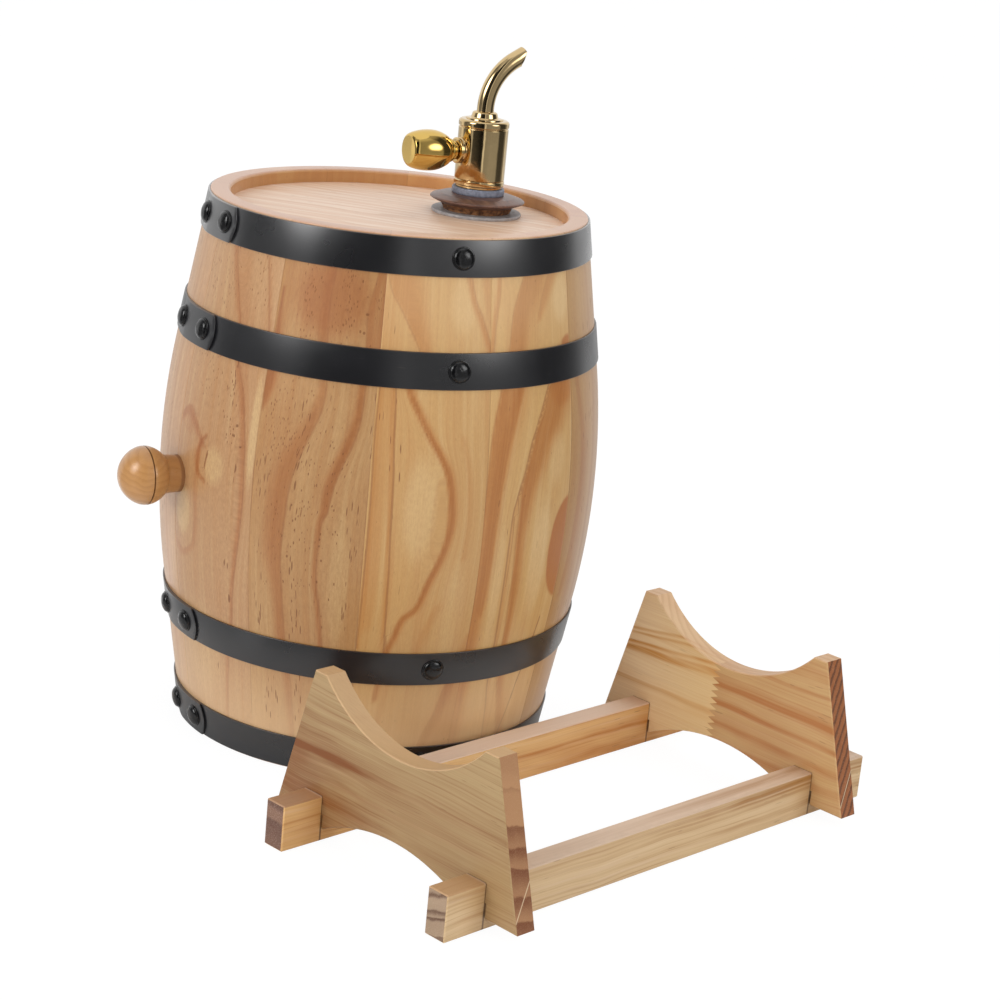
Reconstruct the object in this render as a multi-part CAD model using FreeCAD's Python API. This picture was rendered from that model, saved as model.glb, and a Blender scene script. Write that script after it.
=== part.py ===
import FreeCAD, Part
import math
import os

# A small coopered cask for spirits, standing on its rear head beside its two-plate cradle.
# The cask is twelve bilged staves held by four riveted steel hoops, with a head let into the
# croze at each end.  A plated plug-cock tap goes through the front head in a turned wooden bush,
# and a turned ball bung closes the hole in the belly.
#
# Frame: millimetres, +Z up.  The origin is on the cask's axis, at the level of the table.
# +X runs along the cradle's rails, and the cradle stands on the -Y side of the cask.
# The cask's own pieces are drawn with the bung towards +X and then turned by BUNG_AZIMUTH.

# --- Cask ---
CASK_LENGTH = 260.0
RIM_RADIUS = 90.0
BELLY_RADIUS = 106.5
BILGE_ARC_SHARE = 0.45          # share of the length where a stave is curved; the ends run straight
STAVE_COUNT = 12
STAVE_THICKNESS = 9.5
CHIME_BEVEL = 1.2               # inner edge of each stave end
RIM_EASE = 0.6                  # outer edge of each stave end

# --- Heads and their groove ---
CHIME_DEPTH = 6.5               # from the stave ends down to the face of a head
HEAD_THICKNESS = 10.0
HEAD_TONGUE = 4.0               # thickness of a head's bevelled edge
CROZE_DEPTH = 3.5
CROZE_PLAY = 0.1

# --- Hoops and rivets ---
STRAP_WIDTH = 16.5
STRAP_THICKNESS = 0.9
STRAP_PLAY = 0.05
CHIME_HOOP_INSET = 0.8          # from a cask end to the nearer edge of its chime hoop
BILGE_HOOP_INSET = 50.6         # from a cask end to the nearer edge of its bilge hoop
LAP_START_DEG = -17.0           # the strap's overlap, counted from the bung's side
LAP_END_DEG = 10.0
LAP_NOSE_RADIUS = 13.0          # the overlap's free end is a shallow round nose
LAP_RAMP = 0.35                 # the other end of the overlap rises over this share of it
RIVET_HEAD_RADIUS = 5.4
RIVET_HEAD_HEIGHT = 2.6
RIVET_SIDES = 8
RIVET_DOME = ((1.0, 0.0), (0.84, 0.55), (0.42, 1.0))  # rings of a head: shares of radius and height
RIVET_SHANK_WIDTH = 3.6         # the shank is square, and ends flush with the strap's inner face
RIVET_PLAY = 0.05
LAP_RIVET_DEGS = (-11.0, 4.0)
FIELD_RIVET_DEGS = (81.0, 171.0, 261.0)

# --- Bung ---
BUNG_AZIMUTH = 165.0            # the way the bung points, seen from above
BUNG_HOLE_RADIUS = 9.0          # at the outer face of the staves
BUNG_TAPER_DEG = 3.0
BUNG_PLAY = 0.12
BUNG_BALL_RADIUS = 13.9
BUNG_BALL_LENGTH = 25.0
BUNG_NECK = 3.9                 # from the staves to the back of the ball
BUNG_REACH_IN = 4.5             # how far the shank stands past the inner face of the staves
BUNG_SIDE_RADIUS = 9.5          # the ball is an oval: round sides, flatter ends
BUNG_GROOVE = 0.7
BUNG_END_CHAMFER = 1.0

# --- Tap: heights are counted from the outer face of the front head ---
TAP_OFFSET = 42.0               # tap axis to cask axis
GASKET_RADIUS = 21.9
GASKET_THICKNESS = 1.5
BUSH_PLUG_RADIUS = 15.0         # the part of the bush in the head's hole
BUSH_SHOULDER_RADIUS = 16.4
BUSH_SHOULDER_HEIGHT = 3.2
BUSH_SHOULDER_FLARE = 0.4
BUSH_FLANGE_RADIUS = 23.2
BUSH_FLANGE_THICKNESS = 5.0
BUSH_FLANGE_LAND = 14.5         # flat ring on top of the flange
BUSH_FLANGE_EDGE = 0.6
BUSH_PLAY = 0.1
TAP_GASKET_RADIUS = 12.8
TAP_GASKET_THICKNESS = 3.2
SHANK_RADIUS = 8.0
SHANK_PLAY = 0.05
SHANK_BORE_RADIUS = 3.0
SHANK_CHAMFER = 1.0
SEAT_RADIUS = 11.3              # recessed ring under the body's lowest bead
SEAT_HEIGHT = 1.1
BARREL_RADIUS = 12.25
BARREL_HEIGHT = 32.6            # from the seat to the top of the shoulder
BEAD_HEIGHT = 2.4
BEAD_GROOVE = 0.4
SHOULDER_RING_HEIGHT = 2.6
SHOULDER_FALL = 1.9             # how far the rounded shoulder comes in
SHOULDER_STEP_RADIUS = 8.9
SHOULDER_STEP_HEIGHT = 0.8
COLLAR_SEAT_RADIUS = 7.0
COLLAR_SEAT_HEIGHT = 0.9
COLLAR_RADIUS = 6.3
COLLAR_TOP_RADIUS = 5.3
COLLAR_HEIGHT = 2.2
SPOUT_RADIUS = 4.1
SPOUT_BORE_RADIUS = 3.1
SPOUT_SOCKET = 8.0              # how deep the spout sits in the body
SPOUT_RISE = 1.2                # straight stretch above the collar
SPOUT_BEND_RADIUS = 27.0
SPOUT_BEND_DEG = 60.0
SPOUT_TAIL = 6.5                # straight stretch after the bend
SPOUT_CUT_DEG = 15.0            # slant of the mouth, measured from the tap's axis
BACK_WASHER_RADIUS = 19.0
BACK_WASHER_THICKNESS = 2.0
BACK_NUT_ACROSS_FLATS = 24.0
BACK_NUT_THICKNESS = 6.0
SHANK_PAST_NUT = 3.0

# --- Valve: its axis crosses the tap's axis, and reaches are counted from there ---
VALVE_HEIGHT = 17.6             # above the body's seat
PLUG_RADIUS = 5.2
PLUG_PLAY = 0.04
PLUG_BACK_REACH = 8.0
PORT_RADIUS = 2.6
SEAL_WIDTH = 1.2                # the two seals are square-cut rubber rings
SEAL_DEPTH = 1.1
SEAL_PLAY = 0.04
SEAL_TO_PORT = 1.6
STEM_RADIUS = 3.0
BONNET_LENGTH = 5.6
BONNET_FLANGE_RADIUS = 5.9
BONNET_FLANGE_LENGTH = 2.0
BONNET_STANDS_OUT = 0.4         # from the barrel to the back of the bonnet's flange
BONNET_CHAMFER = 0.5
KNOB_GAP = 0.3
KNOB_NECK_RADIUS = 4.4
KNOB_NECK_LENGTH = 2.2
KNOB_RING_RADIUS = 5.8
KNOB_RING_LENGTH = 1.8
KNOB_RING_CHAMFER = 0.5
KNOB_RADIUS = 9.8
KNOB_ROOT_RADIUS = 6.4
KNOB_FACE_RADIUS = 7.2
KNOB_FACE_CHAMFER = 0.6
KNOB_ARC_SHARE = 0.5            # share of the barrel's length that is round
KNOB_LENGTH = 21.0
KNOB_SOCKET = 7.0

# --- Cradle ---
PLATE_THICKNESS = 11.0
PLATE_SPREAD = 226.5            # over the outer faces of the two plates
PLATE_TOP_WIDTH = 115.0
PLATE_FOOT_WIDTH = 155.0
PLATE_TOP_HEIGHT = 77.2
PLATE_FOOT_LIFT = 5.3           # the rails stand on the table, the plates a little above it
HORN_FLAT = 7.8
SADDLE_RADIUS = 67.0
ARCH_RISE = 12.0
RAIL_WIDTH = 11.8
RAIL_HEIGHT = 21.5
RAIL_SPACING = 104.0            # centre to centre
RAIL_REACH_NEAR = 22.0
RAIL_REACH_FAR = 28.5
LAP_NOTCH_DEPTH = 9.0           # cut down into a rail; the plate's own notch takes the rest
LAP_NOTCH_PLAY = 0.1
PLATE_NOTCH_PLAY = 0.9          # each side of the rail, where the plate is cut generously
EDGE_EASE = 0.5
CRADLE_SHIFT_X = -8.0           # cradle's middle from the cask's axis
CRADLE_GAP = 6.5                # between the rear rail and the cask

MARGIN = 5.0                    # how far cutting tools run past what they cut


def v(x, y, z):
    return FreeCAD.Vector(x, y, z)


ORIGIN = v(0, 0, 0)
X_AXIS = v(1, 0, 0)
Y_AXIS = v(0, 1, 0)
Z_AXIS = v(0, 0, 1)


def polar(radius, degrees):
    angle = math.radians(degrees)
    return radius * math.cos(angle), radius * math.sin(angle)


class Outline:
    """A closed outline of straight and round stretches, in the XZ plane as (radius, height)
    or in the YZ plane as (across, height)."""

    def __init__(self, plane, a, b):
        self.to_3d = {"xz": lambda p, q: v(p, 0, q), "yz": lambda p, q: v(0, p, q)}[plane]
        self.start = self.to_3d(a, b)
        self.here = self.start
        self.edges = []

    def line(self, a, b):
        there = self.to_3d(a, b)
        self.edges.append(Part.LineSegment(self.here, there).toShape())
        self.here = there
        return self

    def arc(self, via, end):
        middle = self.to_3d(*via)
        there = self.to_3d(*end)
        self.edges.append(Part.Arc(self.here, middle, there).toShape())
        self.here = there
        return self

    def sweep(self, centre, radius, first_degrees, last_degrees):
        """Round stretch about a centre, joined to the outline by a straight one if it starts apart."""

        def at(degrees):
            x, y = polar(radius, degrees)
            return centre[0] + x, centre[1] + y

        if self.to_3d(*at(first_degrees)).distanceToPoint(self.here) > 1e-6:
            self.line(*at(first_degrees))
        return self.arc(at((first_degrees + last_degrees) / 2), at(last_degrees))

    def face(self):
        if self.here.distanceToPoint(self.start) > 1e-6:
            self.edges.append(Part.LineSegment(self.here, self.start).toShape())
        return Part.Face(Part.Wire(self.edges))

    def lathe(self, degrees=360.0):
        return self.face().revolve(ORIGIN, Z_AXIS, degrees)

    def extrude_x(self, start, length):
        solid = self.face().extrude(X_AXIS * length)
        solid.translate(X_AXIS * start)
        return solid


def turned(shape, axis, degrees):
    copy = shape.copy()
    copy.rotate(ORIGIN, axis, degrees)
    return copy


def moved(shape, x, y, z):
    copy = shape.copy()
    copy.translate(v(x, y, z))
    return copy


def cylinder(radius, length, start=ORIGIN, along=Z_AXIS):
    return Part.makeCylinder(radius, length, start, along)


# --- The bilge curve: a round middle running tangent into straight tapered ends ---
HALF_LENGTH = CASK_LENGTH / 2
ARC_HALF = HALF_LENGTH * BILGE_ARC_SHARE


def end_taper():
    """Angle of the straight ends, so that arc and straights together drop from belly to rim."""
    drop = BELLY_RADIUS - RIM_RADIUS
    angle = 0.0
    for _ in range(30):
        angle = math.atan((drop - ARC_HALF * math.tan(angle / 2)) / (HALF_LENGTH - ARC_HALF))
    return angle


END_TAPER = end_taper()
BILGE_CURVE_RADIUS = ARC_HALF / math.sin(END_TAPER)


def cask_radius(height):
    """Outer radius of the staves at a height above the standing end."""
    off_middle = abs(height - HALF_LENGTH)
    in_arc = min(off_middle, ARC_HALF)
    drop = BILGE_CURVE_RADIUS - math.sqrt(BILGE_CURVE_RADIUS ** 2 - in_arc ** 2)
    return BELLY_RADIUS - drop - (off_middle - in_arc) * math.tan(END_TAPER)


def trace_bilge(outline, offset, low, high, upward):
    """Run an outline along the bilge curve between two heights, at a radial offset from it."""
    arc_low = max(low, HALF_LENGTH - ARC_HALF)
    arc_high = min(high, HALF_LENGTH + ARC_HALF)
    stops = [low]
    if arc_low < arc_high:
        stops += [arc_low, arc_high]
    stops.append(high)
    if not upward:
        stops.reverse()
    for first, last in zip(stops, stops[1:]):
        if abs(last - first) < 1e-6:
            continue
        end = (cask_radius(last) + offset, last)
        middle = (first + last) / 2
        if arc_low - 1e-6 < middle < arc_high + 1e-6:
            outline.arc((cask_radius(middle) + offset, middle), end)
        else:
            outline.line(*end)


def cask_layer(inner_offset, outer_offset, low, high):
    """Ring that follows the outside of the cask between two heights."""
    ring = Outline("xz", cask_radius(low) + inner_offset, low)
    ring.line(cask_radius(low) + outer_offset, low)
    trace_bilge(ring, outer_offset, low, high, upward=True)
    ring.line(cask_radius(high) + inner_offset, high)
    trace_bilge(ring, inner_offset, low, high, upward=False)
    return ring


# --- Hoops and their rivets ---
HOOP_LOWS = {
    "front_chime": CASK_LENGTH - CHIME_HOOP_INSET - STRAP_WIDTH,
    "front_bilge": CASK_LENGTH - BILGE_HOOP_INSET - STRAP_WIDTH,
    "rear_bilge": BILGE_HOOP_INSET,
    "rear_chime": CHIME_HOOP_INSET,
}
LAP_OFFSET = STRAP_PLAY + STRAP_THICKNESS


def lap_tool(low):
    """Space that the overlap fills: a band with a round nose at its free end."""
    middle = low + STRAP_WIDTH / 2
    reach = BELLY_RADIUS + MARGIN
    nose_centre = LAP_END_DEG - math.degrees(LAP_NOSE_RADIUS / cask_radius(middle))
    sector = Part.makeCylinder(reach, STRAP_WIDTH, v(0, 0, low), Z_AXIS, nose_centre - LAP_START_DEG)
    sector = turned(sector, Z_AXIS, LAP_START_DEG)
    x, y = polar(1.0, nose_centre)
    nose = cylinder(LAP_NOSE_RADIUS, reach, v(0, 0, middle), v(x, y, 0))
    return sector.fuse(nose)


def lap_ramp(low):
    """Wedge of air over the hidden start of the overlap, so that it rises out of the strap."""
    middle = low + STRAP_WIDTH / 2
    radius = cask_radius(middle) + LAP_OFFSET
    span = (LAP_END_DEG - LAP_START_DEG) * LAP_RAMP
    run = math.radians(span) * radius
    rise = math.degrees(math.atan(STRAP_THICKNESS / run))
    wedge = Part.makeBox(MARGIN, 2 * run, 3 * STRAP_WIDTH, v(0, -run, -1.5 * STRAP_WIDTH))
    wedge = turned(wedge, Z_AXIS, span / 2 + rise)
    wedge = turned(wedge, Y_AXIS, math.degrees(END_TAPER) * (-1 if middle > HALF_LENGTH else 1))
    x, y = polar(radius, LAP_START_DEG)
    return moved(turned(wedge, Z_AXIS, LAP_START_DEG), x, y, middle)


def rivet_places(low):
    """Where one hoop's rivets sit: (angle, height, layers of strap under the head)."""
    middle = low + STRAP_WIDTH / 2
    return ([(degrees, middle, 2) for degrees in LAP_RIVET_DEGS]
            + [(degrees, middle, 1) for degrees in FIELD_RIVET_DEGS])


def shank(length, play):
    """Square bar along +X that ends at x = length, for a rivet's shank or its hole."""
    width = RIVET_SHANK_WIDTH + 2 * play
    return Part.makeBox(length, width, width, v(0, -width / 2, -width / 2))


def rivet(layers):
    """Rivet along +X, with x = 0 at the inner face of the strap; its dome is hammered in flats."""
    grip = layers * STRAP_THICKNESS
    rings = []
    for radius_share, height_share in RIVET_DOME:
        corners = [v(grip + height_share * RIVET_HEAD_HEIGHT,
                     *polar(radius_share * RIVET_HEAD_RADIUS, 360.0 * side / RIVET_SIDES))
                   for side in range(RIVET_SIDES + 1)]
        rings.append(Part.makePolygon(corners))
    return Part.makeLoft(rings, True, True).fuse(shank(grip, 0))


def seated(shape, place):
    """Stand a shape drawn along +X square on the staves."""
    degrees, height, _ = place
    tilt = math.degrees(END_TAPER) * (-1 if height > HALF_LENGTH else 1)
    x, y = polar(cask_radius(height) + STRAP_PLAY, degrees)
    return moved(turned(turned(shape, Y_AXIS, tilt), Z_AXIS, degrees), x, y, height)


def hoop(low):
    high = low + STRAP_WIDTH
    strap = cask_layer(STRAP_PLAY, LAP_OFFSET, low, high).lathe()
    lap = cask_layer(LAP_OFFSET, LAP_OFFSET + STRAP_THICKNESS, low, high).lathe()
    lap = lap.common(lap_tool(low)).cut(lap_ramp(low))
    punch = moved(shank(2 * MARGIN, RIVET_PLAY), -MARGIN, 0, 0)
    holes = [seated(punch, place) for place in rivet_places(low)]
    return strap.fuse(lap).cut(holes).removeSplitter()


def rivets(low):
    return Part.makeCompound([seated(rivet(place[2]), place) for place in rivet_places(low)])


# --- Bung: a turned ball on a tapered shank ---
SHANK_SLOPE = math.tan(math.radians(BUNG_TAPER_DEG))
BUNG_END = BELLY_RADIUS - STAVE_THICKNESS - BUNG_REACH_IN


def bung_hole():
    """Tapered drill along +X through the belly, wider outside than inside."""
    inner = BELLY_RADIUS - STAVE_THICKNESS - MARGIN
    outer = BELLY_RADIUS + MARGIN
    inner_radius = BUNG_HOLE_RADIUS - (BELLY_RADIUS - inner) * SHANK_SLOPE
    outer_radius = BUNG_HOLE_RADIUS + (outer - BELLY_RADIUS) * SHANK_SLOPE
    return Part.makeCone(inner_radius, outer_radius, outer - inner, v(inner, 0, HALF_LENGTH), X_AXIS)


def bung():
    def shank_radius(x):
        return BUNG_HOLE_RADIUS - BUNG_PLAY + (x - BELLY_RADIUS) * SHANK_SLOPE

    half_long = BUNG_BALL_LENGTH / 2
    centre = BELLY_RADIUS + BUNG_NECK + half_long
    side = BUNG_BALL_RADIUS - BUNG_SIDE_RADIUS
    cap_radius = ((side ** 2 + half_long ** 2 - BUNG_SIDE_RADIUS ** 2)
                  / (2 * (half_long - BUNG_SIDE_RADIUS)))
    cap_offset = cap_radius - half_long
    join = math.degrees(math.atan2(cap_offset, side))
    neck_radius = shank_radius(BELLY_RADIUS + BUNG_NECK)
    neck = math.degrees(math.acos(neck_radius / cap_radius))
    groove = math.degrees(BUNG_GROOVE / 2 / BUNG_SIDE_RADIUS)
    profile = Outline("xz", 0, BUNG_END)
    profile.line(shank_radius(BUNG_END) - BUNG_END_CHAMFER, BUNG_END)
    profile.line(shank_radius(BUNG_END + BUNG_END_CHAMFER), BUNG_END + BUNG_END_CHAMFER)
    profile.sweep((0, centre + cap_offset), cap_radius, -neck, -join)
    profile.sweep((side, centre), BUNG_SIDE_RADIUS, -join, -groove)
    profile.line(BUNG_BALL_RADIUS - BUNG_GROOVE, centre)
    profile.sweep((side, centre), BUNG_SIDE_RADIUS, groove, join)
    profile.sweep((0, centre - cap_offset), cap_radius, join, 90)
    return moved(turned(profile.lathe(), Y_AXIS, 90), 0, 0, HALF_LENGTH)


# --- Staves ---
STAVE_DEGREES = 360.0 / STAVE_COUNT
CROZE_LOW = CHIME_DEPTH - CROZE_PLAY / 2
CROZE_HIGH = CHIME_DEPTH + HEAD_TONGUE + CROZE_PLAY / 2


def stave_profile():
    """Long section of a stave: bilged inside and out, bevelled chimes, a croze near each end."""
    top = CASK_LENGTH

    def inner(height):
        return cask_radius(height) - STAVE_THICKNESS

    profile = Outline("xz", inner(0) + CHIME_BEVEL, 0)
    profile.line(RIM_RADIUS - RIM_EASE, 0)
    profile.line(cask_radius(RIM_EASE), RIM_EASE)
    trace_bilge(profile, 0, RIM_EASE, top - RIM_EASE, upward=True)
    profile.line(RIM_RADIUS - RIM_EASE, top)
    profile.line(inner(top) + CHIME_BEVEL, top)
    profile.line(inner(top - CHIME_BEVEL), top - CHIME_BEVEL)
    profile.line(inner(top - CROZE_LOW), top - CROZE_LOW)
    profile.line(inner(top - CROZE_LOW) + CROZE_DEPTH, top - CROZE_LOW)
    profile.line(inner(top - CROZE_LOW) + CROZE_DEPTH, top - CROZE_HIGH)
    profile.line(inner(top - CROZE_HIGH), top - CROZE_HIGH)
    trace_bilge(profile, -STAVE_THICKNESS, CROZE_HIGH, top - CROZE_HIGH, upward=False)
    profile.line(inner(CROZE_LOW) + CROZE_DEPTH, CROZE_HIGH)
    profile.line(inner(CROZE_LOW) + CROZE_DEPTH, CROZE_LOW)
    profile.line(inner(CROZE_LOW), CROZE_LOW)
    profile.line(inner(CHIME_BEVEL), CHIME_BEVEL)
    return profile


def stave(index, hole):
    blank = turned(stave_profile().lathe(STAVE_DEGREES), Z_AXIS, index * STAVE_DEGREES)
    return blank.cut(hole) if blank.distToShape(hole)[0] < 1e-6 else blank


# --- Heads ---
HEAD_RADIUS = cask_radius(CROZE_LOW) - STAVE_THICKNESS + CROZE_DEPTH - CROZE_PLAY
HEAD_BEVEL_RADIUS = cask_radius(CHIME_DEPTH + HEAD_THICKNESS) - STAVE_THICKNESS - 3 * CROZE_DEPTH


def head():
    """Disc with its outer face at z = 0 and its inner edge bevelled down to the tongue."""
    profile = Outline("xz", 0, 0)
    profile.line(HEAD_RADIUS, 0)
    profile.line(HEAD_RADIUS, -HEAD_TONGUE)
    profile.line(HEAD_RADIUS - CROZE_DEPTH, -HEAD_TONGUE)
    profile.line(HEAD_BEVEL_RADIUS, -HEAD_THICKNESS)
    profile.line(0, -HEAD_THICKNESS)
    return profile.lathe()


def rear_head():
    return moved(turned(head(), X_AXIS, 180), 0, 0, CHIME_DEPTH)


def front_head():
    hole = cylinder(BUSH_PLUG_RADIUS + BUSH_PLAY, HEAD_THICKNESS + 2 * MARGIN,
                    v(-TAP_OFFSET, 0, -HEAD_THICKNESS - MARGIN))
    return moved(head().cut(hole), 0, 0, CASK_LENGTH - CHIME_DEPTH)


# --- Tap, drawn about its own axis with z = 0 on the head's outer face ---
BUSH_BASE = GASKET_THICKNESS
FLANGE_BASE = BUSH_BASE + BUSH_SHOULDER_HEIGHT
BUSH_TOP = FLANGE_BASE + BUSH_FLANGE_THICKNESS
SEAT = BUSH_TOP + TAP_GASKET_THICKNESS
BARREL_TOP = SEAT + BARREL_HEIGHT
BACK_FACE = -HEAD_THICKNESS
NUT_TOP = BACK_FACE - BACK_WASHER_THICKNESS
SHANK_END = NUT_TOP - BACK_NUT_THICKNESS - SHANK_PAST_NUT
VALVE_LEVEL = SEAT + VALVE_HEIGHT
SHANK_HOLE_RADIUS = SHANK_RADIUS + SHANK_PLAY
STEP_TOP = BARREL_TOP + SHOULDER_STEP_HEIGHT
COLLAR_BASE = STEP_TOP + COLLAR_SEAT_HEIGHT
COLLAR_TOP = COLLAR_BASE + COLLAR_HEIGHT
SPOUT_FOOT = COLLAR_TOP - SPOUT_SOCKET


def ring(inner_radius, outer_radius, low, thickness):
    profile = Outline("xz", inner_radius, low)
    profile.line(outer_radius, low)
    profile.line(outer_radius, low + thickness)
    profile.line(inner_radius, low + thickness)
    return profile.lathe()


def bush_gasket():
    return ring(BUSH_PLUG_RADIUS + BUSH_PLAY, GASKET_RADIUS, 0, GASKET_THICKNESS)


def tap_bush():
    """Turned wooden bush: a plug for the head's hole under a flange with a lens-shaped edge."""
    edge_low = FLANGE_BASE + (BUSH_FLANGE_THICKNESS - BUSH_FLANGE_EDGE) / 2
    profile = Outline("xz", SHANK_HOLE_RADIUS, BACK_FACE + BUSH_PLAY)
    profile.line(BUSH_PLUG_RADIUS, BACK_FACE + BUSH_PLAY)
    profile.line(BUSH_PLUG_RADIUS, BUSH_BASE)
    profile.line(BUSH_SHOULDER_RADIUS, BUSH_BASE)
    profile.line(BUSH_SHOULDER_RADIUS + BUSH_SHOULDER_FLARE, FLANGE_BASE)
    profile.line(BUSH_FLANGE_RADIUS, edge_low)
    profile.line(BUSH_FLANGE_RADIUS, edge_low + BUSH_FLANGE_EDGE)
    profile.line(BUSH_FLANGE_LAND, BUSH_TOP)
    profile.line(SHANK_HOLE_RADIUS, BUSH_TOP)
    return profile.lathe()


def tap_gasket():
    return ring(SHANK_HOLE_RADIUS, TAP_GASKET_RADIUS, BUSH_TOP, TAP_GASKET_THICKNESS)


def back_washer():
    return ring(SHANK_HOLE_RADIUS, BACK_WASHER_RADIUS, NUT_TOP, BACK_WASHER_THICKNESS)


def back_nut():
    corner = BACK_NUT_ACROSS_FLATS / 2 / math.cos(math.radians(30))
    corners = [v(*polar(corner, 60 * k), NUT_TOP - BACK_NUT_THICKNESS) for k in range(7)]
    hexagon = Part.Face(Part.makePolygon(corners)).extrude(Z_AXIS * BACK_NUT_THICKNESS)
    return hexagon.cut(cylinder(SHANK_HOLE_RADIUS, BACK_NUT_THICKNESS + 2 * MARGIN,
                                v(0, 0, NUT_TOP - BACK_NUT_THICKNESS - MARGIN)))


def tap_body():
    """One casting: threaded shank, seat, grooved barrel, stepped shoulder, collar, cross bore."""
    bead_low = SEAT + SEAT_HEIGHT
    bead_high = bead_low + BEAD_HEIGHT
    ring_low = BARREL_TOP - SHOULDER_RING_HEIGHT
    socket_radius = SPOUT_RADIUS + SHANK_PLAY
    profile = Outline("xz", SHANK_BORE_RADIUS, SHANK_END)
    profile.line(SHANK_RADIUS - SHANK_CHAMFER, SHANK_END)
    profile.line(SHANK_RADIUS, SHANK_END + SHANK_CHAMFER)
    profile.line(SHANK_RADIUS, SEAT)
    profile.line(SEAT_RADIUS, SEAT)
    profile.line(SEAT_RADIUS, bead_low)
    profile.line(BARREL_RADIUS - BEAD_GROOVE, bead_low)
    profile.line(BARREL_RADIUS, bead_low + BEAD_GROOVE)
    for groove_low in (bead_high, ring_low - 2 * BEAD_GROOVE):
        profile.line(BARREL_RADIUS, groove_low)
        profile.line(BARREL_RADIUS - BEAD_GROOVE, groove_low + BEAD_GROOVE)
        profile.line(BARREL_RADIUS, groove_low + 2 * BEAD_GROOVE)
    profile.line(BARREL_RADIUS, BARREL_TOP - SHOULDER_FALL)
    profile.sweep((BARREL_RADIUS - SHOULDER_FALL, BARREL_TOP - SHOULDER_FALL), SHOULDER_FALL, 0, 90)
    profile.line(SHOULDER_STEP_RADIUS, BARREL_TOP)
    profile.line(SHOULDER_STEP_RADIUS, STEP_TOP)
    profile.line(COLLAR_SEAT_RADIUS, STEP_TOP)
    profile.line(COLLAR_RADIUS, COLLAR_BASE)
    profile.line(COLLAR_RADIUS, COLLAR_TOP - (COLLAR_RADIUS - COLLAR_TOP_RADIUS))
    profile.line(COLLAR_TOP_RADIUS, COLLAR_TOP)
    profile.line(socket_radius, COLLAR_TOP)
    profile.line(socket_radius, SPOUT_FOOT)
    profile.line(SHANK_BORE_RADIUS, SPOUT_FOOT)
    cross_bore = cylinder(PLUG_RADIUS + PLUG_PLAY, PLUG_BACK_REACH + BARREL_RADIUS + MARGIN,
                          v(-PLUG_BACK_REACH, 0, VALVE_LEVEL), X_AXIS)
    return profile.lathe().cut(cross_bore)


def spout_path():
    """Centre line of the spout: up out of the body, round the bend, then a straight tail."""
    bend_start = v(0, 0, COLLAR_TOP + SPOUT_RISE)
    bend = math.radians(SPOUT_BEND_DEG)

    def on_bend(angle):
        return bend_start + v(-SPOUT_BEND_RADIUS * (1 - math.cos(angle)), 0,
                              SPOUT_BEND_RADIUS * math.sin(angle))

    along = v(-math.sin(bend), 0, math.cos(bend))
    tail_start = on_bend(bend)
    tail_end = tail_start + along * SPOUT_TAIL
    edges = [Part.LineSegment(v(0, 0, SPOUT_FOOT), bend_start).toShape(),
             Part.Arc(bend_start, on_bend(bend / 2), tail_start).toShape(),
             Part.LineSegment(tail_start, tail_end).toShape()]
    return Part.Wire(edges), tail_end


def spout():
    path, tail_end = spout_path()

    def tube(radius):
        circle = Part.Wire(Part.makeCircle(radius, v(0, 0, SPOUT_FOOT), Z_AXIS))
        return path.makePipeShell([circle], True, False)

    beyond = Part.makeBox(4 * SPOUT_RADIUS, 4 * SPOUT_RADIUS, 8 * SPOUT_RADIUS,
                          v(-4 * SPOUT_RADIUS, -2 * SPOUT_RADIUS, -4 * SPOUT_RADIUS))
    mouth = turned(beyond, Y_AXIS, -SPOUT_CUT_DEG)
    slack = SPOUT_RADIUS * math.tan(math.radians(90 - SPOUT_BEND_DEG + SPOUT_CUT_DEG) / 2)
    mouth.translate(tail_end + v(slack, 0, -slack / 2))
    return tube(SPOUT_RADIUS).cut(tube(SPOUT_BORE_RADIUS)).cut(mouth)


# --- Valve pieces, drawn along their own axis and laid across the tap's ---
BONNET_STEP = BARREL_RADIUS + BONNET_STANDS_OUT
BONNET_FACE = BONNET_STEP + BONNET_FLANGE_LENGTH
BONNET_INNER = BONNET_FACE - BONNET_LENGTH
PLUG_FRONT = BONNET_INNER - PLUG_PLAY
KNOB_BACK = BONNET_FACE + KNOB_GAP
KNOB_BARREL = KNOB_BACK + KNOB_NECK_LENGTH + KNOB_RING_LENGTH
STEM_END = KNOB_BACK + KNOB_SOCKET
SEAL_LOWS = (-PORT_RADIUS - SEAL_TO_PORT - SEAL_WIDTH, PORT_RADIUS + SEAL_TO_PORT)


def laid_across(shape):
    return moved(turned(shape, Y_AXIS, 90), 0, 0, VALVE_LEVEL)


def valve_plug():
    """Plug and stem in one; shut, its port lies square to the body's bore."""
    back = -PLUG_BACK_REACH + PLUG_PLAY
    body = cylinder(PLUG_RADIUS, PLUG_FRONT - back, v(0, 0, back))
    stem = cylinder(STEM_RADIUS, STEM_END - PLUG_FRONT, v(0, 0, PLUG_FRONT))
    port = cylinder(PORT_RADIUS, 4 * PLUG_RADIUS, v(0, -2 * PLUG_RADIUS, 0), Y_AXIS)
    plug = body.fuse(stem).cut(port)
    grooves = [ring(PLUG_RADIUS - SEAL_DEPTH - SEAL_PLAY, PLUG_RADIUS + MARGIN,
                    low - SEAL_PLAY, SEAL_WIDTH + 2 * SEAL_PLAY)
               for low in SEAL_LOWS]
    return laid_across(plug.cut(grooves))


def valve_seals():
    rings = [ring(PLUG_RADIUS - SEAL_DEPTH, PLUG_RADIUS, low, SEAL_WIDTH) for low in SEAL_LOWS]
    return laid_across(Part.makeCompound(rings))


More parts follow.
